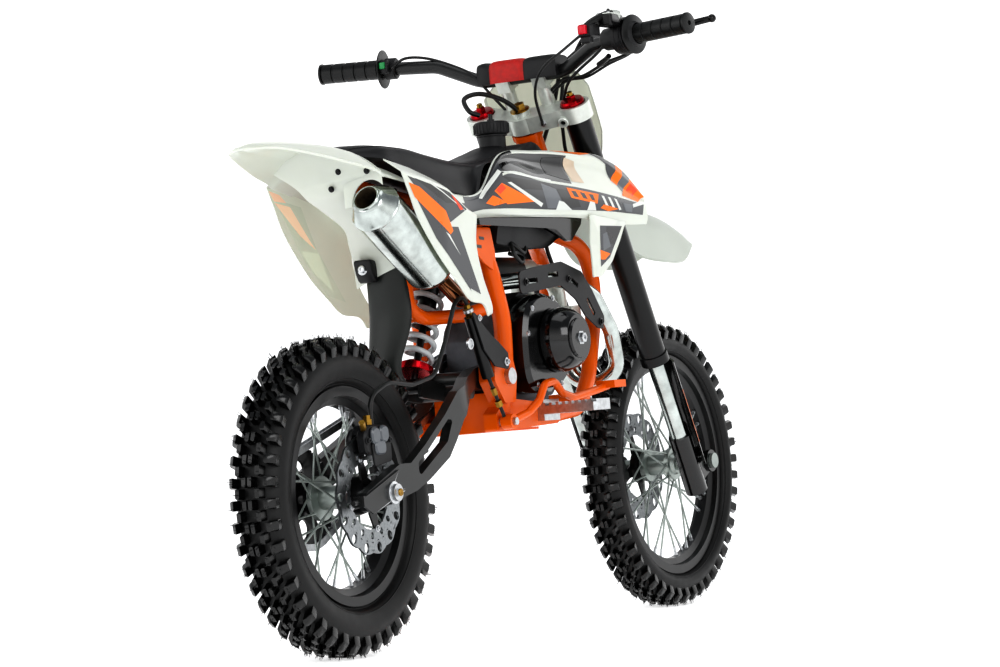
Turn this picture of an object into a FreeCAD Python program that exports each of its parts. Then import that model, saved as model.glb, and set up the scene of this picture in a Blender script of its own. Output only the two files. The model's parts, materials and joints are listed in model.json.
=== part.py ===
import FreeCAD, Part
import math
import os

# Youth dirt bike with a 12 inch rear and a 14 inch front wheel, parked on its side stand.
# Millimetres and degrees. X runs forward from the rear axle, Y to the rider's left and Z up
# from the ground. Everything is drawn with the bike upright and leaned onto its stand last.

Vector = FreeCAD.Vector
across = Vector(0, 1, 0)
along = Vector(1, 0, 0)

# Stance and steering
wheelbase = 1070.0
lean_angle = 5.4
rake = 27.0
clamp_offset = 24.0
axle_lead = 58.0
leg_spacing = 172.0
steering_lock = 33.0
stop_reach = 39.0
stop_half_angle = 17.5

# Tyres: radius and half width at the lugs' tips
rear_tip_radius = 240.0
front_tip_radius = 244.0
rear_tyre_height = 74.5
front_tyre_height = 53.0
rear_crown_half = 20.0
front_crown_half = 17.0
rear_pitches = 22
front_pitches = 24
lug_depth = 15.0

# Rims, measured at the outer edge of the flange
rear_flange_radius = rear_tip_radius - rear_tyre_height
rear_flange_half = 27.0
front_flange_radius = front_tip_radius - front_tyre_height
front_flange_half = 21.0
rim_wall = 3.0
spokes_per_wheel = 32
spoke_radius = 1.7

# Axles, discs and final drive
axle_radius = 7.5
bore_clearance = 0.5
rear_disc_radius = 92.0
front_disc_radius = 95.0
disc_thickness = 3.5
rear_disc_place = -58.0
front_disc_place = 46.0
sprocket_radius = 74.0
sprocket_teeth = 37
sprocket_place = 53.5
drive_sprocket_radius = 26.0
sprocket_thickness = 4.0

# Fork, measured up from the front axle along the fork
leg_radius = 22.0
stanchion_radius = 15.0
lug_top = 82.0
leg_bottom = 226.0
leg_top = 712.0
lower_clamp_bottom = 520.0
clamp_thickness = 27.0
head_gap = 3.0
head_tube_radius = 23.0

# Frame
down_tube_radius = 13.0
side_tube_radius = 14.5
spine_radius = 19.0
side_tube_spread = 75.0
cradle_bottom = 322.0
pivot_x = 396.0
pivot_z = 408.0
seat_gap = 0.3

# Fuel cap
cap_place = 568.0
cap_height = 806.0
cap_radius = 29.0

# Handlebar
bar_radius = 11.0
bar_half = 347.0
grip_radius = 15.5
grip_length = 112.0
bar_rise = 50.7
bar_ahead = 44.1
bar_sweep = 42.0

# Exhaust
silencer_radius = 40.0
silencer_length = 188.0
outlet_radius = 18.0
pipe_radius = 13.0
mud_flap_half = 42.0

# Engine
clutch_drum_radius = 52.0
engine_left_face = 42.0
drive_sprocket_x = 448.0
drive_sprocket_z = 424.0

# Side stand
stand_radius = 9.0
stand_pivot_x = 432.0
stand_pivot_z = 340.0
stand_pivot_side = 114.0
stand_foot_x = 452.0
stand_foot_side = 236.0
stand_foot_radius = 17.0
stand_foot_thickness = 6.0

lean = math.radians(lean_angle)
rake_turn = math.radians(rake)
fork_up = Vector(-math.sin(rake_turn), 0, math.cos(rake_turn))
fork_ahead = Vector(math.cos(rake_turn), 0, math.sin(rake_turn))
rear_height = rear_tip_radius + rear_crown_half * math.tan(lean)
front_height = front_tip_radius + front_crown_half * math.tan(lean)
rear_axle = Vector(0, 0, rear_height)
front_axle_centre = Vector(wheelbase, 0, front_height)
steering_base = front_axle_centre - fork_ahead * (axle_lead + clamp_offset)
upper_clamp_bottom = leg_top - clamp_thickness
lower_clamp_top = lower_clamp_bottom + clamp_thickness
half_spacing = leg_spacing / 2


def fork_point(height, ahead=0.0, side=0.0):
    # A place measured up the steering axis from the front axle, ahead of the axis and sideways.
    return steering_base + fork_up * height + fork_ahead * ahead + across * side


def rod(start, end, radius):
    return Part.makeCylinder(radius, (end - start).Length, start, end - start)


def disc_across(centre, radius, near, far):
    # A short cylinder lying across the bike from y = near to y = far.
    start = Vector(centre.x, near, centre.z)
    return Part.makeCylinder(radius, far - near, start, across)


def join(shapes):
    if len(shapes) == 1:
        return shapes[0]
    return shapes[0].multiFuse(shapes[1:])


def mirrored(shape):
    return shape.mirror(Vector(0, 0, 0), across)


def both_sides(shape):
    return join([shape, mirrored(shape)])


def tangent_path(points, bend, closed=False):
    # Straight runs joined by tangent arcs of one bend radius, smaller where a run is short.
    count = len(points)
    corners = range(count) if closed else range(1, count - 1)
    cuts = {}
    for index in corners:
        before = points[index - 1] - points[index]
        after = points[(index + 1) % count] - points[index]
        turn = math.pi - before.getAngle(after)
        if turn < 0.001:
            continue
        reach = min(bend * math.tan(turn / 2), 0.48 * before.Length, 0.48 * after.Length)
        radius = reach / math.tan(turn / 2)
        start = points[index] + before.normalize() * reach
        end = points[index] + after.normalize() * reach
        inward = (before + after).normalize()
        middle = points[index] + inward * (radius / math.cos(turn / 2) - radius)
        cuts[index] = (start, middle, end)
    edges = []
    last = count if closed else count - 1
    for index in range(last):
        following = (index + 1) % count
        start = cuts[index][2] if index in cuts else points[index]
        end = cuts[following][0] if following in cuts else points[following]
        edges.append(Part.LineSegment(start, end).toShape())
        if following in cuts:
            edges.append(Part.Arc(*cuts[following]).toShape())
    return Part.Wire(edges)


def tube(points, radius, bend):
    # A round tube along a bent path, solid because its bore is closed at both ends.
    path = tangent_path([Vector(*point) for point in points], bend)
    first = Vector(*points[0])
    heading = Vector(*points[1]) - first
    section = Part.Wire(Part.Circle(first, heading, radius).toShape())
    return path.makePipeShell([section], True, False)


def side_plate(outline, corner, near, far):
    # A flat plate cut to an outline in X and Z, with rounded corners, from y = near to far.
    points = [Vector(x, near, z) for x, z in outline]
    wire = tangent_path(points, corner, closed=True)
    return Part.Face(wire).extrude(Vector(0, far - near, 0))


def plan_plate(outline, low, high):
    # A flat plate cut to an outline in X and Y, from z = low to high.
    points = [Vector(x, y, low) for x, y in outline]
    return Part.Face(Part.makePolygon(points + points[:1])).extrude(Vector(0, 0, high - low))


def loft_of(sections):
    # Closed outlines joined by straight rulings.
    wires = [Part.makePolygon(section + section[:1]) for section in sections]
    return Part.makeLoft(wires, True, True)


def side_skin(sections, wall):
    # A moulded panel on the right side: at each x, (outward y, z) pairs from top to bottom.
    outlines = []
    for x, pairs in sections:
        outer = [Vector(x, -y, z) for y, z in pairs]
        inner = [Vector(x, -(y - wall), z) for y, z in reversed(pairs)]
        outlines.append(outer + inner)
    return loft_of(outlines)


def faceted_ring(profile, segments, centre):
    # A tyre carcass: the (y, radius) outline stepped round the axle in straight segments.
    rings = []
    for index in range(segments):
        turn = 2 * math.pi * (index + 0.5) / segments
        radial = Vector(math.cos(turn), 0, math.sin(turn))
        rings.append([centre + radial * radius + across * y for y, radius in profile])
    faces = []
    for ring, following in zip(rings, rings[1:] + rings[:1]):
        for index in range(len(profile)):
            after = (index + 1) % len(profile)
            corners = [ring[index], ring[after], following[after], following[index], ring[index]]
            faces.append(Part.Face(Part.makePolygon(corners)))
    shell = Part.makeShell(faces)
    shell.sewShape()
    return Part.makeSolid(shell)


def turned(profile, centre):
    # A ring turned about the wheel's axle from a closed (y, radius) outline.
    points = [centre + Vector(radius, y, 0) for y, radius in profile]
    face = Part.Face(Part.makePolygon(points + points[:1]))
    return face.revolve(centre, across, 360)


def mirrored_profile(half):
    return half + [(-y, radius) for y, radius in reversed(half)]


def tyre(centre, half_carcass, lug_rows, pitches):
    carcass = faceted_ring(mirrored_profile(half_carcass), 2 * pitches, centre)
    lugs = []
    pitch_angle = 360.0 / pitches
    for outline, length, phase in lug_rows:
        for side in (1, -1):
            points = [Vector(radius, side * y, -length / 2) for y, radius in outline]
            face = Part.Face(Part.makePolygon(points + points[:1]))
            block = face.extrude(Vector(0, 0, length))
            for index in range(pitches):
                lug = block.copy()
                lug.rotate(Vector(0, 0, 0), across, 90 + pitch_angle * (index + phase))
                lug.translate(centre)
                lugs.append(lug)
    return carcass.multiFuse(lugs)


def rear_tyre():
    base = rear_tip_radius - lug_depth
    bead = rear_flange_radius - 11
    carcass = [(19, base), (37, base - 13), (42, base - 29), (34, rear_flange_radius + 9),
               (22.5, rear_flange_radius + 2), (22.5, bead)]
    tip = rear_tip_radius
    # Each row: block outline in (y, radius), block length round the tyre, phase in pitches
    rows = [([(2.5, base - 8), (3.5, tip), (rear_crown_half, tip), (21.5, base - 8)], 21, 0),
            ([(25, base - 12), (26, tip - 2), (34, tip - 5), (42, tip - 18), (38, base - 22)], 19, 0.5)]
    return tyre(rear_axle, carcass, rows, rear_pitches)


def front_tyre():
    base = front_tip_radius - lug_depth + 2
    bead = front_flange_radius - 11
    carcass = [(15, base), (29, base - 11), (33, base - 23), (27, front_flange_radius + 7),
               (16.5, front_flange_radius + 1.5), (16.5, bead)]
    tip = front_tip_radius
    rows = [([(2, base - 8), (3, tip), (front_crown_half, tip), (18, base - 8)], 19, 0),
            ([(20, base - 10), (21, tip - 2), (28, tip - 5), (37, tip - 18), (30, base - 20)], 17, 0.5)]
    return tyre(front_axle_centre, carcass, rows, front_pitches)


def rim(centre, flange_radius, flange_half):
    bead = flange_radius - 11.5
    well = flange_radius - 24
    half = [(flange_half, flange_radius), (flange_half - rim_wall, flange_radius),
            (flange_half - rim_wall, bead), (flange_half / 2, bead - 2), (flange_half / 3, well)]
    back = [(flange_half / 3 + 1, well - rim_wall), (flange_half / 2 + 2, bead - 2 - rim_wall),
            (flange_half, bead - rim_wall)]
    # The outline runs along the tyre side and back along the hub side
    outline = half + [(-y, r) for y, r in reversed(half)]
    outline += [(-y, r) for y, r in reversed(back)] + back
    return turned(outline, centre)


def wheel_hub(centre, flange_half, flange_radius, inner_rim, width):
    # Hub barrel and flanges with the laced spokes that reach the rim.
    bore = axle_radius + bore_clearance
    half = [(width, bore), (width, bore + 9), (flange_half + 4, bore + 12), (flange_half + 4, flange_radius),
            (flange_half - 4, flange_radius), (flange_half - 6, bore + 10)]
    hub = turned(mirrored_profile(half), centre)
    laced = []
    per_flange = spokes_per_wheel // 2
    for side in (1, -1):
        for index in range(per_flange):
            lead = 1 if index % 2 else -1
            start_turn = 2 * math.pi * (index + (0.25 if side > 0 else 0.75)) / per_flange
            end_turn = start_turn + lead * math.radians(38)
            start_side = side * (flange_half + 1.6 * lead)
            start = Vector(math.cos(start_turn) * (flange_radius - 6), start_side,
                           math.sin(start_turn) * (flange_radius - 6))
            end = Vector(math.cos(end_turn) * inner_rim, side * 3, math.sin(end_turn) * inner_rim)
            laced.append(rod(centre + start, centre + end, spoke_radius))
    return hub.multiFuse(laced)


def wave_disc(centre, place, radius, carrier_radius):
    # A brake disc with a scalloped edge, a ring of slots and an open carrier.
    waves = 12
    disc = disc_across(centre, radius, place - disc_thickness / 2, place + disc_thickness / 2)
    cutters = [disc_across(centre, carrier_radius, place - disc_thickness, place + disc_thickness)]
    for index in range(waves):
        turn = 2 * math.pi * index / waves
        radial = Vector(math.cos(turn), 0, math.sin(turn))
        notch = centre + radial * (radius + 9)
        cutters.append(disc_across(notch, 15, place - disc_thickness, place + disc_thickness))
        slot = centre + radial * (radius - 26)
        cutters.append(disc_across(slot, 5, place - disc_thickness, place + disc_thickness))
    return disc.cut(cutters)


def disc_carrier(centre, place, hub_end, outer_radius, bolt_circle):
    # The spider that joins the disc to the hub's end.
    arms = 4
    side = 1 if place > 0 else -1
    thickness = disc_thickness
    plate = disc_across(centre, bolt_circle, place - thickness / 2, place + thickness / 2)
    blades = []
    for index in range(arms):
        turn = 360.0 * index / arms
        blade = Part.makeBox(outer_radius + 1, thickness, 18)
        blade.translate(Vector(0, place - thickness / 2, -9))
        blade.rotate(Vector(0, 0, 0), across, turn)
        blade.translate(Vector(centre.x, 0, centre.z))
        blades.append(blade)
    bore = disc_across(centre, axle_radius + bore_clearance + 9.5, place - 5, place + 5)
    spider = plate.multiFuse(blades).cut(bore)
    reach = sorted((hub_end, place - side * thickness / 2))
    boss = disc_across(centre, bolt_circle, *reach).cut(
        disc_across(centre, axle_radius + bore_clearance + 9.5, reach[0] - 1, reach[1] + 1))
    return spider.fuse(boss)


def brake_disc(centre, place, radius, hub_end):
    rotor = wave_disc(centre, place, radius, radius - 40)
    carrier = disc_carrier(centre, place, hub_end, radius - 38, 26)
    return rotor.fuse(carrier)


def rear_sprocket(hub_end):
    root = sprocket_radius - 4
    outline = []
    for tooth in range(sprocket_teeth):
        for share, radius in ((0, root), (0.32, sprocket_radius + 3), (0.68, sprocket_radius + 3)):
            turn = 2 * math.pi * (tooth + share) / sprocket_teeth
            outline.append(Vector(radius * math.cos(turn), 0, radius * math.sin(turn)))
    plate = Part.Face(Part.makePolygon(outline + outline[:1])).extrude(across * sprocket_thickness)
    plate.translate(Vector(0, sprocket_place - sprocket_thickness / 2, rear_height))
    windows = []
    for index in range(5):
        turn = 2 * math.pi * (index + 0.5) / 5
        spot = rear_axle + Vector(math.cos(turn), 0, math.sin(turn)) * 47
        windows.append(disc_across(spot, 15, sprocket_place - 5, sprocket_place + 5))
    bore = disc_across(rear_axle, axle_radius + bore_clearance + 9.5, hub_end, sprocket_place + 5)
    boss = disc_across(rear_axle, 28, hub_end, sprocket_place)
    return plate.cut(windows).fuse(boss).cut(bore)


def chain():
    # Two rows of link plates round both sprockets, tied by rollers on the straight runs. The
    # loop is a polygon because each link is straight.
    drive = Vector(drive_sprocket_x, 0, drive_sprocket_z)
    big = sprocket_radius
    small = drive_sprocket_radius
    gap = drive - rear_axle
    slope = math.atan2(gap.z, gap.x)
    spread = math.acos((big - small) / gap.Length)

    def loop(offset):
        points = []
        for step in range(11):
            turn = slope + spread + (2 * math.pi - 2 * spread) * step / 10
            points.append(rear_axle + Vector(math.cos(turn), 0, math.sin(turn)) * (big + offset))
        for step in range(5):
            turn = slope - spread + 2 * spread * step / 4
            points.append(drive + Vector(math.cos(turn), 0, math.sin(turn)) * (small + offset))
        return points

    outer = loop(5.5)
    inner = loop(-5.5)
    ring = Part.Face(Part.makePolygon(outer + outer[:1])).cut(
        Part.Face(Part.makePolygon(inner + inner[:1])))
    shapes = []
    for place in (sprocket_place - 6.5, sprocket_place + 5):
        plate = ring.extrude(across * 1.5)
        plate.translate(across * place)
        shapes.append(plate)
    middle = loop(0)
    for start, end in ((middle[10], middle[11]), (middle[15], middle[0])):
        for step in range(1, 9):
            spot = start + (end - start) * ((step + 0.5) / 10)
            roller = disc_across(spot, 3.2, sprocket_place - 6, sprocket_place + 6)
            shapes.append(roller)
    return join(shapes)


def rear_axle_bolt():
    bolt = disc_across(rear_axle, axle_radius, -112, 112)
    nut = disc_across(rear_axle, 13, -112, -103.5)
    head = disc_across(rear_axle, 12, 103.5, 112)
    spacers = []
    for near, far in ((-83.7, -40.3), (40.3, 83.7)):
        collar = disc_across(rear_axle, 12, near, far)
        spacers.append(collar)
    return join([bolt, nut, head] + spacers)


def swingarm():
    # Each arm is its side outline cut by its outline seen from above. The left arm passes
    # between the two runs of the chain.
    right_outline = [(-64, 218), (-80, 236), (-72, 245), (30, 284), (62, 284), (108, 310),
                     (175, 354), (217, 388),
                     (275, 410), (345, 424), (396, 430), (417, 418), (417, 398), (396, 386), (336, 394),
                     (287, 382), (232, 345), (205, 314), (179, 288), (115, 257), (75, 242), (-50, 216)]
    left_outline = [(-64, 218), (-80, 236), (-72, 245), (30, 284), (62, 286), (108, 304),
                    (175, 330), (240, 360),
                    (300, 386), (345, 402), (390, 420), (413, 416), (413, 398), (396, 388), (360, 362),
                    (300, 338), (232, 306), (179, 276), (115, 254), (75, 242), (-50, 216)]
    inside = 84.0
    outside = 100.0
    front = side_tube_spread - side_tube_radius - 1.8
    plan = plan_plate([(-80, -outside), (240, -outside), (352, -front), (420, -front), (420, -40),
                       (345, -40), (230, -inside), (-80, -inside)], 180, 460)
    slot = side_plate([(84, 262), (176, 312), (196, 345), (182, 346), (110, 298), (84, 284)], 6,
                      -120, -60)
    axle_hole = disc_across(rear_axle, axle_radius, -120, 0)
    right = side_plate(right_outline, 8, -110, -20).common(plan).cut([slot, axle_hole])
    left = side_plate(left_outline, 8, -110, -20).common(plan).cut(axle_hole)
    pivot_tube = disc_across(Vector(pivot_x, 0, pivot_z), 15, -front, front)
    brace = disc_across(Vector(318, 0, 388), 12, -66, 66)
    ears = side_plate([(236, 384), (304, 376), (330, 386), (326, 396), (262, 412), (240, 408)], 5,
                      -24, -17)
    web = disc_across(Vector(306, 0, 390), 8, -24, 24)
    shape = join([right, mirrored(left), pivot_tube, brace, ears, mirrored(ears), web])
    return shape.cut(disc_across(Vector(pivot_x, 0, pivot_z), 8, -60, 60))


def chain_adjuster():
    block = side_plate([(-60, 213), (-86, 226), (-86, 238), (22, 276), (36, 244)], 2, -103.2, -100)
    hole = disc_across(rear_axle, axle_radius, -120, 0)
    lip = Part.makeBox(5, 19, 16, Vector(-86, -103, 225))
    screw = rod(Vector(-102, -94, 231), Vector(-82, -94, 234), 4)
    return join([block, lip, screw]).cut(hole)


def axle_set():
    # The axle with its nuts and collars, and the chain adjusters on both arms.
    adjuster = chain_adjuster()
    return join([rear_axle_bolt(), adjuster, mirrored(adjuster)])


def along_stand_bolt(near, far, radius):
    # A cylinder along the side stand's bolt, which is square to the stand's leg.
    pivot = Vector(stand_pivot_x, stand_pivot_side, stand_pivot_z)
    spread = stand_foot_side - stand_pivot_side
    drop = stand_pivot_z - stand_foot_side * math.tan(lean)
    bolt_way = Vector(0, drop, spread).normalize()
    return rod(pivot + bolt_way * near, pivot + bolt_way * far, radius)


def pivot_pins():
    # Swingarm bolt, brake pedal pin and side stand bolt.
    bolt = disc_across(Vector(pivot_x, 0, pivot_z), 7.5, -99, 99)
    caps = [disc_across(Vector(pivot_x, 0, pivot_z), 13, near, far)
            for near, far in ((-99, -91), (91, 99))]
    pedal_pin = disc_across(Vector(372, 0, 336), 6, -114, -84)
    stand_pin = along_stand_bolt(-36, 8, 6).fuse(along_stand_bolt(7.3, 13, 10))
    swing = join([bolt] + caps)
    return Part.makeCompound([swing, pedal_pin, stand_pin])


def head_tube():
    bottom = lower_clamp_top + head_gap
    top = upper_clamp_bottom - head_gap
    barrel = rod(fork_point(bottom), fork_point(top), head_tube_radius)
    bore = rod(fork_point(bottom - 1), fork_point(top + 1), 16.5)
    cups = [rod(fork_point(bottom), fork_point(bottom + 9), head_tube_radius + 3),
            rod(fork_point(top - 9), fork_point(top), head_tube_radius + 3)]
    return barrel.multiFuse(cups).cut(bore)


def spine_tube(radius):
    return tube([(694, 0, 752), (640, 0, 700), (560, 0, 655), (385, 0, 640)], radius, 120)


def steering_stops():
    # Lugs on the head tube that the lower clamp's stop meets at full lock.
    lugs = []
    for side in (1, -1):
        lug = Part.makeBox(stop_reach, 6, 9, Vector(0, -3, lower_clamp_top + head_gap))
        lug.rotate(Vector(0, 0, 0), Vector(0, 0, 1), side * (steering_lock + stop_half_angle))
        lugs.append(lug)
    return set_on_fork(join(lugs))


def main_frame():
    # Head tube, spine, the pair of down tubes, side tubes, cradle rails and cross pieces.
    gusset = side_plate([(700, 790), (668, 742), (620, 690), (690, 668), (722, 700)], 6, -12, 12)
    bore = rod(fork_point(lower_clamp_top), fork_point(upper_clamp_bottom), 16.5)
    down = tube([(640, -14, 664), (700, -20, 646), (768, -43, 622), (797, -43, 562),
                 (770, -48, 481), (728, -56, 405), (672, -64, 352), (560, -70, 342)],
                down_tube_radius, 70)
    rail = side_plate([(360, cradle_bottom), (360, 350), (378, 362), (420, 372), (560, 360),
                       (574, 344), (560, 329)], 6, -84, -60)
    side = tube([(372, -62, 650), (392, -75, 580), (420, -75, 500), (416, -75, 430),
                 (396, -75, 378), (392, -75, 350)], side_tube_radius, 110)
    pivot_plate = side_plate([(352, 402), (356, 440), (412, 446), (424, 410), (414, 366), (380, 366)],
                             8, -91, -62)
    top_link = disc_across(Vector(374, 0, 640), 14, -66, 66)
    floor = Part.makeBox(16, 113, 62, Vector(378, -75, cradle_bottom))
    floor_left = Part.makeBox(16, 38, 22, Vector(378, 37, cradle_bottom))
    skid = Part.makeBox(150, 122, 4, Vector(385, -61, cradle_bottom))
    front_cross = disc_across(Vector(690, 0, 366), 11, -62, 62)
    head_cross = disc_across(Vector(641, 0, 664), 11, -18, 18)
    right = [down, rail, side, pivot_plate]
    left = [mirrored(shape) for shape in right]
    stand_boss = along_stand_bolt(-40, -7.3, 10)
    middle = [head_tube(), steering_stops(), spine_tube(spine_radius), gusset, top_link, floor,
              floor_left, skid, front_cross, head_cross, stand_boss]
    frame = join(middle + right + left)
    pivot_bore = disc_across(Vector(pivot_x, 0, pivot_z), 7.5, -100, 100)
    holes = [bore, pivot_bore, along_stand_bolt(-36, 0, 6)]
    return frame.cut(holes)


def subframe():
    rail = tube([(372, -60, 652), (330, -54, 672), (250, -46, 682), (130, -34, 701), (62, -31, 712)],
                11, 80)
    strut = tube([(404, -60, 520), (340, -50, 508), (256, -28, 506), (222, -22, 522), (214, -22, 610),
                  (210, -42, 689)], 11, 50)
    cross = disc_across(Vector(76, 0, 710), 9, -31, 31)
    lower_cross = disc_across(Vector(240, 0, 510), 9, -27, 27)
    shock_cross = disc_across(Vector(352, 0, 601), 9, -60, 60)
    shock_drop = rod(Vector(352, -52, 601), Vector(352, -54, 664), 9)
    halves = [rail, strut, shock_drop]
    shape = join(halves + [mirrored(half) for half in halves] + [cross, lower_cross, shock_cross])
    return shape.cut(main_frame())


def engine_case():
    outline = [(436, 384), (436, 470), (452, 520), (520, 545), (600, 535), (640, 510), (640, 415),
               (600, 376), (470, 370)]
    case = side_plate(outline, 18, -56, engine_left_face)
    sump = side_plate([(470, 352), (600, 356), (606, 384), (466, 384)], 6, -46, 36)
    feet = [Part.makeBox(24, 50, 50, Vector(x, -25, cradle_bottom + 4.3)) for x in (480, 506)]
    left_cover = disc_across(Vector(545, 0, 462), 54, engine_left_face - 2, 80)
    drive = Vector(drive_sprocket_x, 0, drive_sprocket_z)
    shaft = disc_across(drive, 9, engine_left_face - 2, sprocket_place + 6)
    gear = disc_across(drive, 18, sprocket_place - 2, sprocket_place + 2)
    return join([case, sump, left_cover, shaft, gear] + feet)


def clutch_case():
    outline = [(441, 400), (439, 470), (456, 520), (500, 542), (570, 528), (600, 478), (590, 412),
               (540, 380), (470, 378)]
    return side_plate(outline, 20, -103.7, -56)


def clutch_drum():
    centre = Vector(534, 0, 462)
    drum = disc_across(centre, clutch_drum_radius, -140, -104)
    shoulder = Part.makeCone(clutch_drum_radius, clutch_drum_radius - 12, 10,
                             Vector(centre.x, -140, centre.z), -across)
    face = disc_across(centre, 31, -153, -150)
    nut = disc_across(centre, 9, -160, -153)
    return join([drum, shoulder, face, nut])


def cylinder_barrel():
    # Cylinder and head lying forward over the crankcase, with square cooling fins.
    turn = 8.0
    core = Part.makeBox(150, 60, 60)
    core.translate(Vector(0, -30, -30))
    shapes = [core]
    for index in range(9):
        fin = Part.makeBox(4, 88, 92)
        fin.translate(Vector(10 + index * 10.5, -44, -46))
        shapes.append(fin)
    head = Part.makeBox(38, 66, 84, Vector(108, -33, -42))
    shapes.append(head)
    barrel = join(shapes)
    barrel.rotate(Vector(0, 0, 0), across, -turn)
    barrel.translate(Vector(622, 0, 462))
    return barrel.cut(engine_case())


def set_on_fork(shape):
    # Takes a piece drawn with X ahead of the steering axis, Y across and Z up the axis.
    shape.rotate(Vector(0, 0, 0), across, -rake)
    shape.translate(steering_base)
    return shape


def upright(ahead, side, low, high, radius):
    # A cylinder that stands along the steering axis, before it is set on the fork.
    return Part.makeCylinder(radius, high - low, Vector(ahead, side, low))


def crosswise(ahead, height, near, far, radius):
    return Part.makeCylinder(radius, far - near, Vector(ahead, near, height), across)


def fork_uppers():
    legs = []
    for side in (-half_spacing, half_spacing):
        leg = upright(clamp_offset, side, leg_bottom, leg_top, leg_radius)
        cap = upright(clamp_offset, side, leg_top, leg_top + 7, leg_radius - 5)
        collar = upright(clamp_offset, side, leg_bottom, leg_bottom + 16, leg_radius + 2.5)
        legs.append(join([leg, cap, collar]))
    return set_on_fork(Part.makeCompound(legs))


def fork_stanchions():
    legs = [upright(clamp_offset, side, lug_top, leg_bottom, stanchion_radius)
            for side in (-half_spacing, half_spacing)]
    return set_on_fork(Part.makeCompound(legs))


def fork_lug():
    # The foot of one leg with the axle clamp ahead of it.
    barrel = upright(clamp_offset, half_spacing, -26, lug_top, stanchion_radius + 4)
    holder_ahead = clamp_offset + axle_lead
    holder = crosswise(holder_ahead, 0, half_spacing - 14, half_spacing + 14, 19)
    web = Part.makeBox(axle_lead, 20, 30)
    web.translate(Vector(clamp_offset, half_spacing - 10, -15))
    bore = crosswise(holder_ahead, 0, half_spacing - 40, half_spacing + 40, axle_radius)
    return join([barrel, holder, web]).cut(bore)


def fork_lugs():
    lug = fork_lug()
    return set_on_fork(Part.makeCompound([lug, mirrored(lug)]))


def fork_guards():
    # Curved plastic shields ahead of the polished lower legs.
    outer = upright(clamp_offset, half_spacing, -20, leg_bottom - 8, 30)
    inner = upright(clamp_offset, half_spacing, -21, leg_bottom, 27)
    front = Part.makeBox(60, 46, 300, Vector(clamp_offset + 8, half_spacing - 12, 20))
    foot = Part.makeBox(14, 8, 16)
    foot.translate(Vector(clamp_offset + 15, half_spacing - 4, 24))
    barrel = upright(clamp_offset, half_spacing, -26, lug_top, stanchion_radius + 4.3)
    shield = join([outer.cut(inner).common(front), foot]).cut(barrel)
    return set_on_fork(Part.makeCompound([shield, mirrored(shield)]))


def front_axle_bolt():
    place = clamp_offset + axle_lead
    reach = half_spacing + 20
    shapes = [crosswise(place, 0, -reach, reach, axle_radius)]
    shapes.append(crosswise(place, 0, -reach, -reach + 5.7, 13))
    shapes.append(crosswise(place, 0, reach - 5.7, reach, 12))
    for near, far in ((34.3, half_spacing - 14.3), (14.3 - half_spacing, -34.3)):
        shapes.append(crosswise(place, 0, near, far, 12))
    return set_on_fork(join(shapes))


def clamp_plate(bottom, ring_radius, thickness):
    arms = plan_plate([(-19, -20), (4, -84), (44, -84), (44, -30), (30, -20), (30, 20), (44, 30),
                       (44, 84), (4, 84), (-19, 20)], bottom, bottom + thickness)
    shapes = [arms, upright(0, 0, bottom, bottom + thickness, 25)]
    for side in (-half_spacing, half_spacing):
        shapes.append(upright(clamp_offset, side, bottom, bottom + thickness, ring_radius))
    bores = [upright(clamp_offset, side, bottom - 1, bottom + thickness + 1, leg_radius + 0.2)
             for side in (-half_spacing, half_spacing)]
    return join(shapes).cut(bores)


def lower_clamp():
    plate = clamp_plate(lower_clamp_bottom, leg_radius + 8, clamp_thickness)
    stem = upright(0, 0, lower_clamp_bottom, upper_clamp_bottom, 15.5)
    stop = Part.makeBox(9, 12, 25, Vector(31.5, -6, lower_clamp_top - 13))
    stop_base = Part.makeBox(16, 12, 12, Vector(20, -6, lower_clamp_top - 13))
    return set_on_fork(join([plate, stem, stop, stop_base]))


def upper_clamp():
    plate = clamp_plate(upper_clamp_bottom, leg_radius + 6, clamp_thickness)
    nut = upright(0, 0, leg_top, leg_top + 10, 15)
    bar_up = leg_top + bar_rise
    shapes = [plate, nut]
    for side in (-34, 34):
        post = upright(bar_ahead - 4, side, leg_top - 2, bar_up - bar_radius - 1, 12)
        foot = Part.makeBox(30, 24, clamp_thickness)
        foot.translate(Vector(bar_ahead - 26, side - 12, upper_clamp_bottom))
        saddle = Part.makeBox(34, 24, 2 * bar_radius + 14)
        saddle.translate(Vector(bar_ahead - 17, side - 12, bar_up - bar_radius - 8))
        shapes += [post, foot, saddle]
    bore = crosswise(bar_ahead, bar_up, -60, 60, bar_radius + 0.2)
    return set_on_fork(join(shapes).cut(bore))


def bar_points():
    # Centre line of the bar's left half, from its middle to its end.
    middle = fork_point(leg_top + bar_rise, bar_ahead)
    places = [(0, 0, 0), (0, 78, 0), (-22, 150, 0.8 * bar_sweep), (-49, 236, 0.92 * bar_sweep),
              (-70, bar_half, bar_sweep)]
    return [tuple(middle + Vector(back, -side, rise)) for back, side, rise in places]


def handlebar():
    half = tube(bar_points(), bar_radius, 60)
    return both_sides(half)


def grip_line():
    inner = Vector(*bar_points()[3])
    outer = Vector(*bar_points()[4])
    heading = (outer - inner).normalize()
    return outer, heading


def grips():
    outer, heading = grip_line()
    start = outer - heading * grip_length
    sleeve = rod(start, outer + heading * 3, grip_radius)
    flange = rod(start, start + heading * 4, grip_radius + 8)
    bore = rod(start - heading, outer + heading * 0.2, bar_radius + 0.2)
    grip = join([sleeve, flange]).cut(bore)
    return Part.makeCompound([grip, mirrored(grip)])


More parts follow.
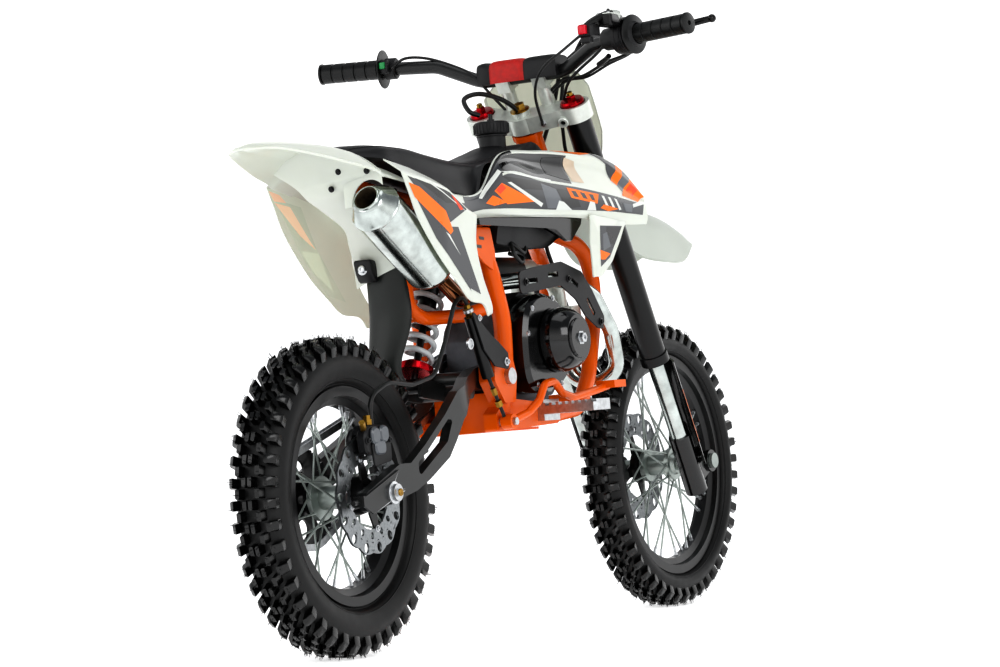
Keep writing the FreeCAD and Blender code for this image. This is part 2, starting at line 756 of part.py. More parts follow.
def throttle_and_lever():
    # Right side: throttle drum, switch block, lever perch with its fluid cup, and the lever.
    middle = fork_point(leg_top + bar_rise, bar_ahead)
    outer, heading = grip_line()
    drum_end = outer - heading * (grip_length + 1)
    drum = rod(drum_end - heading * 26, drum_end, 21)
    # Each block: size, then its corner from the bar's middle
    blocks = [((40, 34, 44), (-66, -212, 18)), ((44, 22, 30), (-38, -188, 22)),
              ((34, 40, 22), (-22, -200, 44))]
    shapes = [drum]
    for size, corner in blocks:
        block = Part.makeBox(*size)
        block.translate(middle + Vector(*corner))
        shapes.append(block)
    reach = [(-2, -176, 34), (10, -205, 36), (-6, -260, 42), (-18, -330, 47), (-10, -372, 52)]
    places = [tuple(middle + Vector(*point)) for point in reach]
    lever = tube(places, 4.5, 30)
    tip = Part.makeSphere(7, Vector(*places[-1]))
    body = join(shapes).cut(tube(bar_points(), bar_radius + 0.3, 60))
    return join([body, lever, tip])


def left_switch():
    outer, heading = grip_line()
    start = outer - heading * (grip_length + 1)
    ring = rod(start - heading * 18, start, 17)
    tab = Part.makeBox(14, 12, 12)
    tab.translate(start - heading * 15 + Vector(-7, 0, 12))
    return mirrored(join([ring, tab]).cut(tube(bar_points(), bar_radius + 0.3, 60)))


def bar_pad():
    middle = fork_point(leg_top + bar_rise, bar_ahead)
    corners = ((-26, -8), (-26, 30), (26, 30), (26, -8))
    outline = [(middle.x + back, middle.z + rise) for back, rise in corners]
    pad = side_plate(outline, 11, -75, 75)
    bar_up = leg_top + bar_rise
    cuts = [tube(bar_points(), bar_radius + 0.4, 60), mirrored(tube(bar_points(), bar_radius + 0.4, 60))]
    for side in (-34, 34):
        saddle = Part.makeBox(36, 26, 2 * bar_radius + 60)
        saddle.translate(Vector(bar_ahead - 18, side - 13, bar_up - bar_radius - 52))
        cuts.append(set_on_fork(saddle))
    return pad.cut(cuts)


def number_plate():
    # A thin plate ahead of the fork, its sides swept back, on two arms from the lower clamp.
    outline = plan_plate([(68, -103), (98, -62), (103, 0), (98, 62), (68, 103), (64, 101), (95, 60),
                          (100, 0), (95, -60), (64, -101)], 566, 744)
    face = [(0, -62, 566), (0, -99, 640), (0, -103, 722), (0, -78, 744),
            (0, 78, 744), (0, 103, 722), (0, 99, 640), (0, 62, 566)]
    front = [Vector(*point) for point in face]
    prism = Part.Face(Part.makePolygon(front + front[:1])).extrude(Vector(140, 0, 0))
    plate = outline.common(prism)
    arm = Part.makeBox(56, 10, 5, Vector(47, -5, 570))
    shelf = Part.makeBox(4, 84, 50, Vector(44.3, -42, 525))
    return set_on_fork(join([plate, arm, shelf]))


def arch_loft(sections, wall):
    # A mudguard: at each x, half width, crown height and drop of the edges below the crown.
    outlines = []
    shares = (-1, -0.72, -0.35, 0.35, 0.72, 1)
    for x, half, crown, drop in sections:
        outer = [Vector(x, half * share, crown - drop * abs(share) ** 2.2) for share in shares]
        inner = [Vector(x, (half - wall) * share, crown - wall - drop * abs(share) ** 2.2)
                 for share in reversed(shares)]
        outlines.append(outer + inner)
    return loft_of(outlines)


def front_fender():
    # x, half width, crown height, drop
    sections = [(806, 34, 682, 8), (850, 48, 691, 34), (930, 64, 697, 88), (1030, 70, 691, 94),
                (1110, 60, 680, 80), (1165, 46, 664, 44), (1203, 30, 645, 12)]
    skin = arch_loft(sections, 3)
    mount = upright(36, 0, 480, lower_clamp_bottom - 0.3, 10)
    plate = Part.makeBox(46, 60, 4)
    plate.translate(Vector(24, -30, lower_clamp_bottom - 4.3))
    local = set_on_fork(join([mount, plate]))
    return join([skin, local])


def rear_fender():
    # x, half width, crown height, drop
    sections = [(-174, 19, 768, 3), (-150, 46, 773, 9), (-90, 70, 776, 22), (-20, 90, 776, 36),
                (44, 100, 771, 44), (59, 102, 755.2, 34), (109, 106, 745, 32)]
    skin = arch_loft(sections, 3)
    posts = [Part.makeCylinder(8, 28, Vector(84, side, 716)) for side in (-32, 32)]
    return join([skin] + posts).cut(subframe())


def seat():
    # x, lower half width, lower height, upper half width, height of the top
    sections = [(60, 40, 752, 34, 768), (110, 76, 742, 60, 773), (126, 84, 716, 62, 773),
                (190, 92, 705, 70, 768), (296, 94, 691, 74, 754), (338, 90, 692, 70, 752),
                (392, 78, 742, 58, 754), (470, 72, 750, 52, 764.5), (548, 58, 770, 40, 786)]
    outlines = []
    for x, low_half, low, top_half, top in sections:
        half = [(low_half, low), (top_half, top - 9), (top_half * 0.6, top)]
        outline = [Vector(x, -y, z) for y, z in half]
        outline += [Vector(x, y, z) for y, z in reversed(half)]
        outlines.append(outline)
    return loft_of(outlines)


def fuel_tank():
    # x, then half width and height of the bottom edge, the flank and the top edge
    sections = [(405, 84, 618, 92, 690, 60, 738), (470, 88, 612, 98, 692, 60, 747),
                (548, 88, 613, 98, 696, 56, 767), (612, 86, 640, 98, 702, 56, 792),
                (645, 66, 708, 84, 738, 44, 780)]
    outlines = []
    for x, low_half, low, mid_half, mid, top_half, top in sections:
        outlines.append([Vector(x, -low_half, low), Vector(x, -mid_half, mid), Vector(x, -top_half, top),
                         Vector(x, top_half, top), Vector(x, mid_half, mid), Vector(x, low_half, low)])
    body = loft_of(outlines)
    channel = Part.makeBox(260, 46, 70, Vector(395, -23, 590))
    spine = spine_tube(spine_radius + seat_gap)
    front_gap = side_plate([(600, 600), (600, 690), (660, 745), (660, 600)], 3, -23, 23)
    return body.cut([channel, spine, front_gap])


def tank_cap():
    base = Vector(cap_place, 0, cap_height)
    neck = Part.makeCylinder(22, 20, base - Vector(0, 0, 20))
    cap = Part.makeCylinder(cap_radius, 22, base)
    nozzle = Part.makeCylinder(4, 14, base + Vector(0, 0, 22))
    shape = join([neck, cap, nozzle])
    return shape.cut(fuel_tank())


def shroud():
    # At each x, from top to bottom: fin top, strip, foot of the scoop, crease, band and lower lip.
    sections = [(200, [(99, 709), (99.5, 708), (100, 707), (100.5, 706), (101, 704), (100, 702)]),
                (268, [(97, 694), (98, 690), (99, 686), (100, 682), (102, 666), (98, 654)]),
                (340, [(99, 700), (100, 697), (101, 694), (103, 690), (106, 670), (102, 658)]),
                (412, [(99, 760), (101, 755), (102, 748), (109, 730), (112, 671), (107, 659)]),
                (520, [(100, 769), (106, 764), (100, 748), (117, 718), (121, 670), (115, 660)]),
                (620, [(112, 768), (119, 761), (113, 742), (125, 710), (128, 670), (122, 659)]),
                (706, [(121, 763), (128, 752), (122, 735), (131, 700), (133, 669), (128, 651)]),
                (773, [(128, 738), (132, 724), (128, 708), (133, 691), (135, 666), (131, 649)]),
                (836, [(132, 696), (133, 692), (131, 688), (134, 683), (135, 662), (132, 650)])]
    skin = side_skin(sections, 3.5)
    wing = side_plate([(640, 664), (632, 622), (634, 562), (663, 562), (703, 587), (737, 623),
                       (762, 654), (762, 664)], 4, -132.3, -128.8)
    boss = disc_across(Vector(560, 0, 695), 9, -119.5, -98.3)
    return join([skin, wing, boss])


def side_panel():
    outline = [(66, 723), (130, 714), (202, 698), (262, 670), (299, 660), (287, 614), (302, 566),
               (330, 524), (330, 506), (312, 502), (294, 520), (250, 526), (213, 551), (163, 590),
               (108, 648), (82, 694)]
    blank = side_plate(outline, 6, -135, -90)
    plan = plan_plate([(40, -123), (180, -124), (280, -118), (370, -104), (370, -100.5),
                       (280, -114.5), (180, -120.5), (40, -119.5)], 460, 740)
    window = side_plate([(84, 684), (92, 684), (118, 650), (112, 648)], 2, -135, -90)
    boss = disc_across(Vector(196, 0, 682), 8, -121, -52.9)
    return join([blank.common(plan).cut(window), boss])


def mud_flap():
    outline = [(206, 590), (210, 590), (206, 500), (195, 434), (191, 434), (202, 500)]
    sheet = side_plate(outline, 1, -mud_flap_half, mud_flap_half)
    foot = Part.makeBox(38, 18, 8, Vector(203, -9, 506))
    clearance = rod(silencer_place(-20), silencer_place(silencer_length + 40), silencer_radius + 3)
    shape = join([sheet.cut(clearance), foot])
    return shape.cut(subframe())


def shock_body():
    low = Vector(252, 0, 402)
    high = Vector(352, 0, 601)
    heading = (high - low).normalize()
    eye_low = disc_across(low, 12, -16.5, 16.5)
    eye_high = disc_across(high, 15, -14, 14)
    shaft = rod(low + heading * 9, low + heading * 110, 6)
    seat_low = rod(low + heading * 24, low + heading * 34, 27)
    body = rod(low + heading * 104, high - heading * 8, 15)
    seat_high = rod(low + heading * 176, low + heading * 186, 27)
    holes = [disc_across(high, 9.3, -20, 20)]
    return join([eye_low, eye_high, shaft, seat_low, body, seat_high]).cut(holes)


def spring():
    # A hexagonal wire wound round the damper, closed by flat ends.
    low = Vector(252, 0, 402)
    high = Vector(352, 0, 601)
    heading = (high - low).normalize()
    sideways = across
    front = sideways.cross(heading)
    turns = 5.5
    steps = int(turns * 12)
    start = 34.3 + 4.6
    length = 141.4 - 9.2
    wire = 4.6
    coil = 22.0
    rings = []
    for step in range(steps + 1):
        turn = 2 * math.pi * turns * step / steps
        radial = sideways * math.cos(turn) + front * math.sin(turn)
        centre = low + heading * (start + length * step / steps) + radial * coil
        ring = []
        for corner in range(6):
            angle = math.pi * corner / 3
            ring.append(centre + radial * (wire * math.cos(angle)) + heading * (wire * math.sin(angle)))
        rings.append(ring)
    faces = [Part.Face(Part.makePolygon(rings[0] + rings[0][:1])),
             Part.Face(Part.makePolygon(rings[-1] + rings[-1][:1]))]
    for ring, following in zip(rings, rings[1:]):
        for corner in range(6):
            after = (corner + 1) % 6
            for points in ((ring[corner], ring[after], following[after]),
                           (ring[corner], following[after], following[corner])):
                faces.append(Part.Face(Part.makePolygon(list(points) + [points[0]])))
    shell = Part.makeShell(faces)
    shell.sewShape()
    return Part.makeSolid(shell)


def silencer_place(distance):
    # A point on the silencer's axis, measured from the outlet toward the engine.
    return Vector(45, -76, 679) + Vector(207, 0, -125).normalize() * distance


def silencer():
    outlet = silencer_place(0)
    inlet_way = silencer_place(1) - outlet
    body = rod(outlet + inlet_way * 14, outlet + inlet_way * silencer_length, silencer_radius)
    cap = Part.makeCone(silencer_radius - 14, silencer_radius, 22, outlet - inlet_way * 8, inlet_way)
    spout = rod(outlet - inlet_way * 14, outlet + inlet_way * 4, outlet_radius + 3)
    cone_start = outlet + inlet_way * silencer_length
    cone = Part.makeCone(silencer_radius, pipe_radius + 3, 30, cone_start, inlet_way)
    bore = rod(outlet - inlet_way * 15, outlet + inlet_way * 50, outlet_radius)
    hanger = Part.makeBox(26, 3, 66, Vector(140, -52.4, 640))
    return join([body, cap, spout, cone, hanger]).cut(bore)


def exhaust_pipe():
    end = silencer_place(silencer_length + 30.3)
    lead = silencer_place(silencer_length + 101)
    points = [(752, -6, 435.4), (757, -12, 402), (768, -52, 386), (782, -84, 412), (754, -91, 476),
              (704, -91, 532), (640, -90, 557), (560, -89, 563), (474, -70, 561), (404, -44, 556),
              (352, -50, 541), (lead.x, lead.y, lead.z), (end.x, end.y, end.z)]
    return tube(points, pipe_radius, 45)


def heat_shield():
    outline = [(428, 572), (470, 579), (570, 589), (636, 573), (668, 543), (704, 498), (697, 478),
               (679, 480), (640, 500), (611, 527), (564, 550), (496, 543), (428, 536)]
    plate = side_plate(outline, 9, -107.8, -105.3)
    slots = []
    for x, z, tilt in ((470, 558, 4), (540, 568, 2), (606, 557, -28), (660, 515, -50)):
        slot = Part.makeBox(34, 20, 8)
        slot.translate(Vector(-17, -117, -4))
        slot.rotate(Vector(0, 0, 0), across, -tilt)
        slot.translate(Vector(x, 0, z))
        slots.append(slot)
    boss = disc_across(Vector(590, 0, 561), 7, -105.3, -102.5)
    return plate.cut(slots).fuse(boss)


def carburettor():
    body = rod(Vector(604, 0, 582), Vector(652, 0, 582), 21)
    bowl = Part.makeCylinder(19, 30, Vector(628, 0, 543))
    manifold = tube([(651, 0, 582), (700, 0, 580), (746, 0, 556), (748, 0, 523.6)], 14, 30)
    return join([body, bowl, manifold])


def air_filter():
    return rod(Vector(508, 0, 582), Vector(603.7, 0, 582), 24)


def footpegs():
    outer = plan_plate([(494, -96), (494, -186), (502, -194), (536, -194), (546, -184), (546, -96)],
                       344, 362)
    window = plan_plate([(504, -112), (504, -182), (536, -182), (536, -112)], 340, 370)
    teeth = []
    for side in range(-190, -100, 12):
        notch = Part.makeBox(80, 7, 5)
        notch.translate(Vector(480, side, 357.5))
        teeth.append(notch)
    hinge = Part.makeBox(52, 11.7, 34)
    hinge.translate(Vector(494, -96, 334))
    peg = join([outer.cut([window] + teeth), hinge])
    return Part.makeCompound([peg, mirrored(peg)])


def brake_pedal():
    pivot = Vector(372, 0, 336)
    arm = tube([(372, -103, 336), (424, -106, 348), (452, -112, 366), (474, -112, 392),
                (506, -112, 396), (530, -112, 376), (566, -112, 368), (640, -116, 378),
                (668, -122, 384)], 6.5, 22)
    boss = disc_across(pivot, 12, -109, -90)
    bore = disc_across(pivot, 6.3, -120, -80)
    toe = Part.makeBox(40, 34, 12)
    toe.translate(Vector(655, -142, 380))
    return join([arm, boss, toe]).cut(bore)


def rear_master_cylinder():
    body = rod(Vector(325, -95, 408), Vector(287, -93, 503), 10)
    push_rod = rod(Vector(363.3, -96, 345.2), Vector(324, -95, 410), 3)
    return join([body, push_rod])


def heel_guard():
    outline = [(268, 512), (284, 504), (304, 486), (328, 470), (344, 462), (372, 444), (372, 418),
               (328, 424), (298, 450)]
    plate = side_plate(outline, 6, -107.8, -105.3)
    boss = disc_across(Vector(364, 0, 430), 7, -105.3, -91.3)
    return join([plate, boss])


def rear_caliper():
    body = Part.makeBox(64, 34, 40)
    body.translate(Vector(-26, -80, rear_height + 62))
    disc_slot = disc_across(rear_axle, rear_disc_radius + 5, rear_disc_place - 7, rear_disc_place + 7)
    inner = Part.makeBox(80, 20, 60)
    inner.translate(Vector(-36, -45.9, rear_height + 50))
    bracket = side_plate([(-16, 282), (-16, 318), (34, 318), (34, 290)], 4, -83.7, -80)
    return join([body.cut([disc_slot, inner]), bracket])


def front_caliper():
    place = clamp_offset + axle_lead
    body = Part.makeBox(40, 30, 62)
    body.translate(Vector(-16, 33, 8))
    slot = Part.makeCylinder(front_disc_radius + 5, 14, Vector(place, front_disc_place - 7, 0), across)
    body = body.cut(slot)
    bracket = Part.makeBox(34, 6, 40)
    bracket.translate(Vector(-14, 63, 20))
    shape = join([body, bracket])
    barrel = upright(clamp_offset, half_spacing, -30, lug_top + 2, stanchion_radius + 4.3)
    return set_on_fork(shape.cut(barrel))


def front_brake_hose():
    # Points ahead of the steering axis, across and up the axis.
    top = leg_top + bar_rise
    route = tube([(79.6, -180, top + 42.5), (104.3, -180, top + 29.9), (102, -110, top + 27.3),
                  (87, -50, top - 5.7), (76, -20, 690), (62, 36, 600), (52, 60, 500),
                  (50, 64, 440), (48, 58, 235),
                  (14, 58, 170), (-4, 58, 130), (-4, 58, 70.3)], 3.5, 60)
    return set_on_fork(route)


def rear_brake_hose():
    return tube([(287, -93, 503.3), (276, -93, 534), (240, -96, 530), (206, -94, 470), (170, -90, 414),
                 (110, -84, 402), (50, -78, 408), (6, -70, 388), (6, -70, rear_height + 102.3)], 3.5, 40)


def throttle_cable():
    # Rises from the throttle housing, loops over the bar and runs down to the lower clamp.
    middle = fork_point(leg_top + bar_rise, bar_ahead)
    loop = [(-50, -195, 62.3), (-49, -195, 85), (10, -160, 82), (39, -95, 54), (43, -52, -8),
            (43, -42, -58)]
    route = [tuple(middle + Vector(*point)) for point in loop]
    for height, ahead in ((630, 38), (lower_clamp_top + 0.3, 34)):
        route.append(tuple(fork_point(height, ahead, -38)))
    return tube(route, 3, 50)


def side_stand():
    pivot = Vector(stand_pivot_x, stand_pivot_side, stand_pivot_z)
    down = math.tan(lean)
    foot = Vector(stand_foot_x, stand_foot_side, stand_foot_side * down)
    normal = Vector(0, -math.sin(lean), math.cos(lean))
    leg = rod(pivot, foot + normal * 8, stand_radius)
    pad = Part.makeCylinder(stand_foot_radius, stand_foot_thickness, foot, normal)
    eye = along_stand_bolt(-7, 7, 15)
    bore = along_stand_bolt(-20, 20, 6.5)
    recess = along_stand_bolt(7, 30, 11)
    inboard = along_stand_bolt(-30, -7, 16)
    return join([leg, pad, eye]).cut([bore, recess, inboard])


def frame_pieces():
    return {
        "frame": main_frame(),
        "subframe": subframe(),
        "swingarm": swingarm(),
        "pivot_pins": pivot_pins(),
        "axle_rear": axle_set(),
        "chain": chain(),
        "shock": shock_body(),
        "spring": spring(),
        "engine_case": engine_case(),
        "clutch_case": clutch_case(),
        "clutch_drum": clutch_drum(),
        "cylinder": cylinder_barrel(),
        "carburettor": carburettor(),
        "air_filter": air_filter(),
        "exhaust_pipe": exhaust_pipe(),
        "silencer": silencer(),
        "heat_shield": heat_shield(),
        "fuel_tank": fuel_tank(),
        "tank_cap": tank_cap(),
        "seat": seat(),
        "shroud_right": shroud(),
        "shroud_left": mirrored(shroud()),
        "side_panel_right": side_panel(),
        "side_panel_left": mirrored(side_panel()),
        "rear_fender": rear_fender(),
        "mud_flap": mud_flap(),
        "footpegs": footpegs(),
        "brake_pedal": brake_pedal(),
        "rear_master_cylinder": rear_master_cylinder(),
        "heel_guard": heel_guard(),
        "caliper_rear": rear_caliper(),
        "brake_hose_rear": rear_brake_hose(),
    }


def steering_pieces():
    return {
        "lower_clamp": lower_clamp(),
        "upper_clamp": upper_clamp(),
        "fork_uppers": fork_uppers(),
        "fork_stanchions": fork_stanchions(),
        "fork_lugs": fork_lugs(),
        "fork_guards": fork_guards(),
        "axle_front": front_axle_bolt(),
        "caliper_front": front_caliper(),
        "handlebar": handlebar(),
        "bar_pad": bar_pad(),
        "grips": grips(),
        "bar_controls": Part.makeCompound([throttle_and_lever(), left_switch()]),
        "number_plate": number_plate(),
        "fender_front": front_fender(),
        "bar_hoses": Part.makeCompound([front_brake_hose(), throttle_cable()]),
    }


def wheel_pieces():
    return {
        "tyre_rear": rear_tyre(),
        "tyre_front": front_tyre(),
        "rim_rear": rim(rear_axle, rear_flange_radius, rear_flange_half),
        "rim_front": rim(front_axle_centre, front_flange_radius, front_flange_half),
        "hub_rear": wheel_hub(rear_axle, 26, 34, rear_flange_radius - 27.3, 40),
        "hub_front": wheel_hub(front_axle_centre, 24, 28, front_flange_radius - 27.3, 34),
        "disc_rear": brake_disc(rear_axle, rear_disc_place, rear_disc_radius, -40),
        "disc_front": brake_disc(front_axle_centre, front_disc_place, front_disc_radius, 34),
        "sprocket_rear": rear_sprocket(40),
    }


def parked(pieces):
    # Lean the whole bike onto its stand and centre it over the ground.
    low = Vector(1e9, 1e9, 1e9)
    high = Vector(-1e9, -1e9, -1e9)
    for shape in pieces.values():
        shape.rotate(Vector(0, 0, 0), along, -lean_angle)
        for point in shape.tessellate(0.2)[0]:
            low = Vector(min(low.x, point.x), min(low.y, point.y), min(low.z, point.z))
            high = Vector(max(high.x, point.x), max(high.y, point.y), max(high.z, point.z))
    shift = Vector(-(low.x + high.x) / 2, -(low.y + high.y) / 2, -low.z)
    for shape in pieces.values():
        shape.translate(shift)
    print("size", high - low, "shift", shift)
    return pieces


nodes = {**frame_pieces(), **steering_pieces(), **wheel_pieces(), "side_stand": side_stand()}
parked(nodes)
os.makedirs("parts", exist_ok=True)
for name, shape in nodes.items():
    shape.exportStep("parts/" + name + ".step")
    print(name, len(shape.Solids), shape.isValid(), round(shape.Volume / 1000, 1))
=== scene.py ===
import json
import math
import bmesh
import bpy
import numpy as np
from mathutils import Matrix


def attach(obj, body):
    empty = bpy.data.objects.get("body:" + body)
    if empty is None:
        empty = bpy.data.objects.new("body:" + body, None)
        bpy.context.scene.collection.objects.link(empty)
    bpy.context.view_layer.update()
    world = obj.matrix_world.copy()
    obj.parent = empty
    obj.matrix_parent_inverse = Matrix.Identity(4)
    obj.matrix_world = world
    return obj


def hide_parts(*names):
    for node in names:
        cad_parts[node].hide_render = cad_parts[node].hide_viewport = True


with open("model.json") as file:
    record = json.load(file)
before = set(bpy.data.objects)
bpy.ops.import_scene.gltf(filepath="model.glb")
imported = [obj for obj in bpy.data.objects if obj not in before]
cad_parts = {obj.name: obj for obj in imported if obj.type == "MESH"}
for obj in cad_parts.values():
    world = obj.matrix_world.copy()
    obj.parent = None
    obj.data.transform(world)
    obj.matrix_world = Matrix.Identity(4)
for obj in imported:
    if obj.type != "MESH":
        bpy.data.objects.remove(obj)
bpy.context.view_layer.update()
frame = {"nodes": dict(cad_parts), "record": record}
nodes = frame["nodes"]
print("frame loaded:", len(nodes), "nodes")

# The bike is drawn upright in millimetres, x forward from the rear axle, y to its left and z up,
# and every finished piece is then leaned and moved to where it is parked.
stance = {"lean": 5.4, "forward": -537.474, "sideways": -76.917, "rake": 27.0, "wheelbase": 1070.0,
          "rearHeight": 241.891, "frontHeight": 245.607, "forkOffset": 82.0}


def parked(points):
    # turned about X by the lean, then moved, millimetres to metres
    lean = math.radians(stance["lean"])
    points = np.asarray(points, float)
    side = points[..., 1] * math.cos(lean) + points[..., 2] * math.sin(lean) + stance["sideways"]
    up = points[..., 2] * math.cos(lean) - points[..., 1] * math.sin(lean)
    return np.stack([points[..., 0] + stance["forward"], side, up], axis=-1) / 1000


def onFork(points):
    # points given ahead of the steering axis, across, and up the axis from the front axle
    rake = math.radians(stance["rake"])
    points = np.asarray(points, float)
    baseX = stance["wheelbase"] - stance["forkOffset"] * math.cos(rake)
    baseZ = stance["frontHeight"] - stance["forkOffset"] * math.sin(rake)
    x = baseX + points[..., 0] * math.cos(rake) - points[..., 2] * math.sin(rake)
    z = baseZ + points[..., 0] * math.sin(rake) + points[..., 2] * math.cos(rake)
    return np.stack([x, points[..., 1], z], axis=-1)


# ---- camera, light and floor

view = {"place": (-5.4705, -3.1339, 0.575), "turn": 29.54, "tilt": -0.87, "lens": 139.4, "sensor": 36}
studio = {
    # colours of the wall and ceiling, and how high they reach as the sine of the height looked at
    "backdrop": "#FFFFFF", "wallTo": 0.25, "ceiling": "#8E9194", "ceilingFrom": 0.7, "strength": 1.0,
    "floor": "#FFFFFF", "floorReach": 30, "floorRoughness": 0.9, "floorGlow": 0.42, "look": "High Contrast",
    # each light's place, the spot it faces, its size in metres and its power in watts
    "lights": {"keyLight": ((-3.0, -3.6, 3.2), (0, 0, 0.5), 2.4, 52),
               "fillLight": ((-4.0, 3.0, 2.2), (0, 0, 0.5), 2.6, 18),
               "rimLight": ((3.4, -1.6, 2.4), (0, 0, 0.5), 2.0, 12),
               "topLight": ((0, 0, 4.2), (0, 0, 0), 2.6, 20)}}


def linear(code):
    # sRGB hex to linear red, green, blue
    values = [int(code[i:i + 2], 16) / 255 for i in (1, 3, 5)]
    return [v / 12.92 if v <= 0.04045 else ((v + 0.055) / 1.055) ** 2.4 for v in values]


def opaque(colour):
    # the same colour with a full fourth channel
    return (*colour, 1)


def placeCamera():
    # tilt counts from level, turn from the bike's forward axis
    data = bpy.data.cameras.new("photoView")
    data.lens, data.sensor_width, data.clip_end = view["lens"], view["sensor"], 50
    camera = bpy.data.objects.new("photoView", data)
    camera.location = view["place"]
    camera.rotation_euler = (math.radians(90 + view["tilt"]), 0, math.radians(view["turn"] - 90))
    bpy.context.scene.collection.objects.link(camera)
    bpy.context.scene.camera = camera


def areaLight(name, place, target, size, power):
    # turned by the two angles of the line from its place to its target
    data = bpy.data.lights.new(name, "AREA")
    data.energy, data.size = power, size
    lamp = bpy.data.objects.new(name, data)
    heading = np.array(target, float) - np.array(place, float)
    lamp.location = place
    lamp.rotation_euler = (math.atan2(math.hypot(heading[0], heading[1]), -heading[2]), 0,
                           math.atan2(heading[1], heading[0]) - math.pi / 2)
    bpy.context.scene.collection.objects.link(lamp)


def addNode(tree, kind, settings, links):
    # one node with its settings, and links given as input: (node, output)
    node = tree.nodes.new(kind)
    for key, value in settings.items():
        if key in node.inputs:
            node.inputs[key].default_value = value
        else:
            setattr(node, key, value)
    for key, (source, output) in links.items():
        tree.links.new(source.outputs[output], node.inputs[key])
    return node


def colourRamp(tree, source, output, start, end):
    # a ramp between two (position, colour) pairs
    ramp = addNode(tree, "ShaderNodeValToRGB", {}, {"Fac": (source, output)})
    for element, (position, colour) in zip(ramp.color_ramp.elements, (start, end)):
        element.position, element.color = position, opaque(colour)
    return ramp


def setSockets(shader, values):
    # plain numbers and colours set on the shader's own sockets
    for key, value in values.items():
        shader.inputs[key].default_value = value


def buildStudio():
    # a white wall all round that darkens toward the ceiling
    world = bpy.data.worlds.new("studio")
    world.use_nodes = True
    tree = world.node_tree
    background = tree.nodes["Background"]
    heading = addNode(tree, "ShaderNodeTexCoord", {}, {})
    height = addNode(tree, "ShaderNodeSeparateXYZ", {}, {"Vector": (heading, "Generated")})
    ramp = colourRamp(tree, height, "Z", (studio["wallTo"], linear(studio["backdrop"])),
                      (studio["ceilingFrom"], linear(studio["ceiling"])))
    tree.links.new(ramp.outputs["Color"], background.inputs["Color"])
    background.inputs["Strength"].default_value = studio["strength"]
    bpy.context.scene.world = world
    bpy.context.scene.view_settings.view_transform = "Standard"
    bpy.context.scene.view_settings.look = studio["look"]
    floorMesh = bpy.data.meshes.new("floor")
    reach = studio["floorReach"]
    floorMesh.from_pydata([(-reach, -reach, 0), (reach, -reach, 0), (reach, reach, 0), (-reach, reach, 0)],
                          [], [(0, 1, 2, 3)])
    floor = bpy.data.objects.new("floor", floorMesh)
    bpy.context.scene.collection.objects.link(floor)
    paint = bpy.data.materials.new("matt studio floor")
    paint.use_nodes = True
    setSockets(paint.node_tree.nodes["Principled BSDF"],
               {"Base Color": opaque(linear(studio["floor"])), "Roughness": studio["floorRoughness"],
                "Emission Color": (1, 1, 1, 1), "Emission Strength": studio["floorGlow"]})
    floorMesh.materials.append(paint)
    for name, (place, target, size, power) in studio["lights"].items():
        areaLight(name, place, target, size, power)


placeCamera()
buildStudio()
print("camera and studio placed")
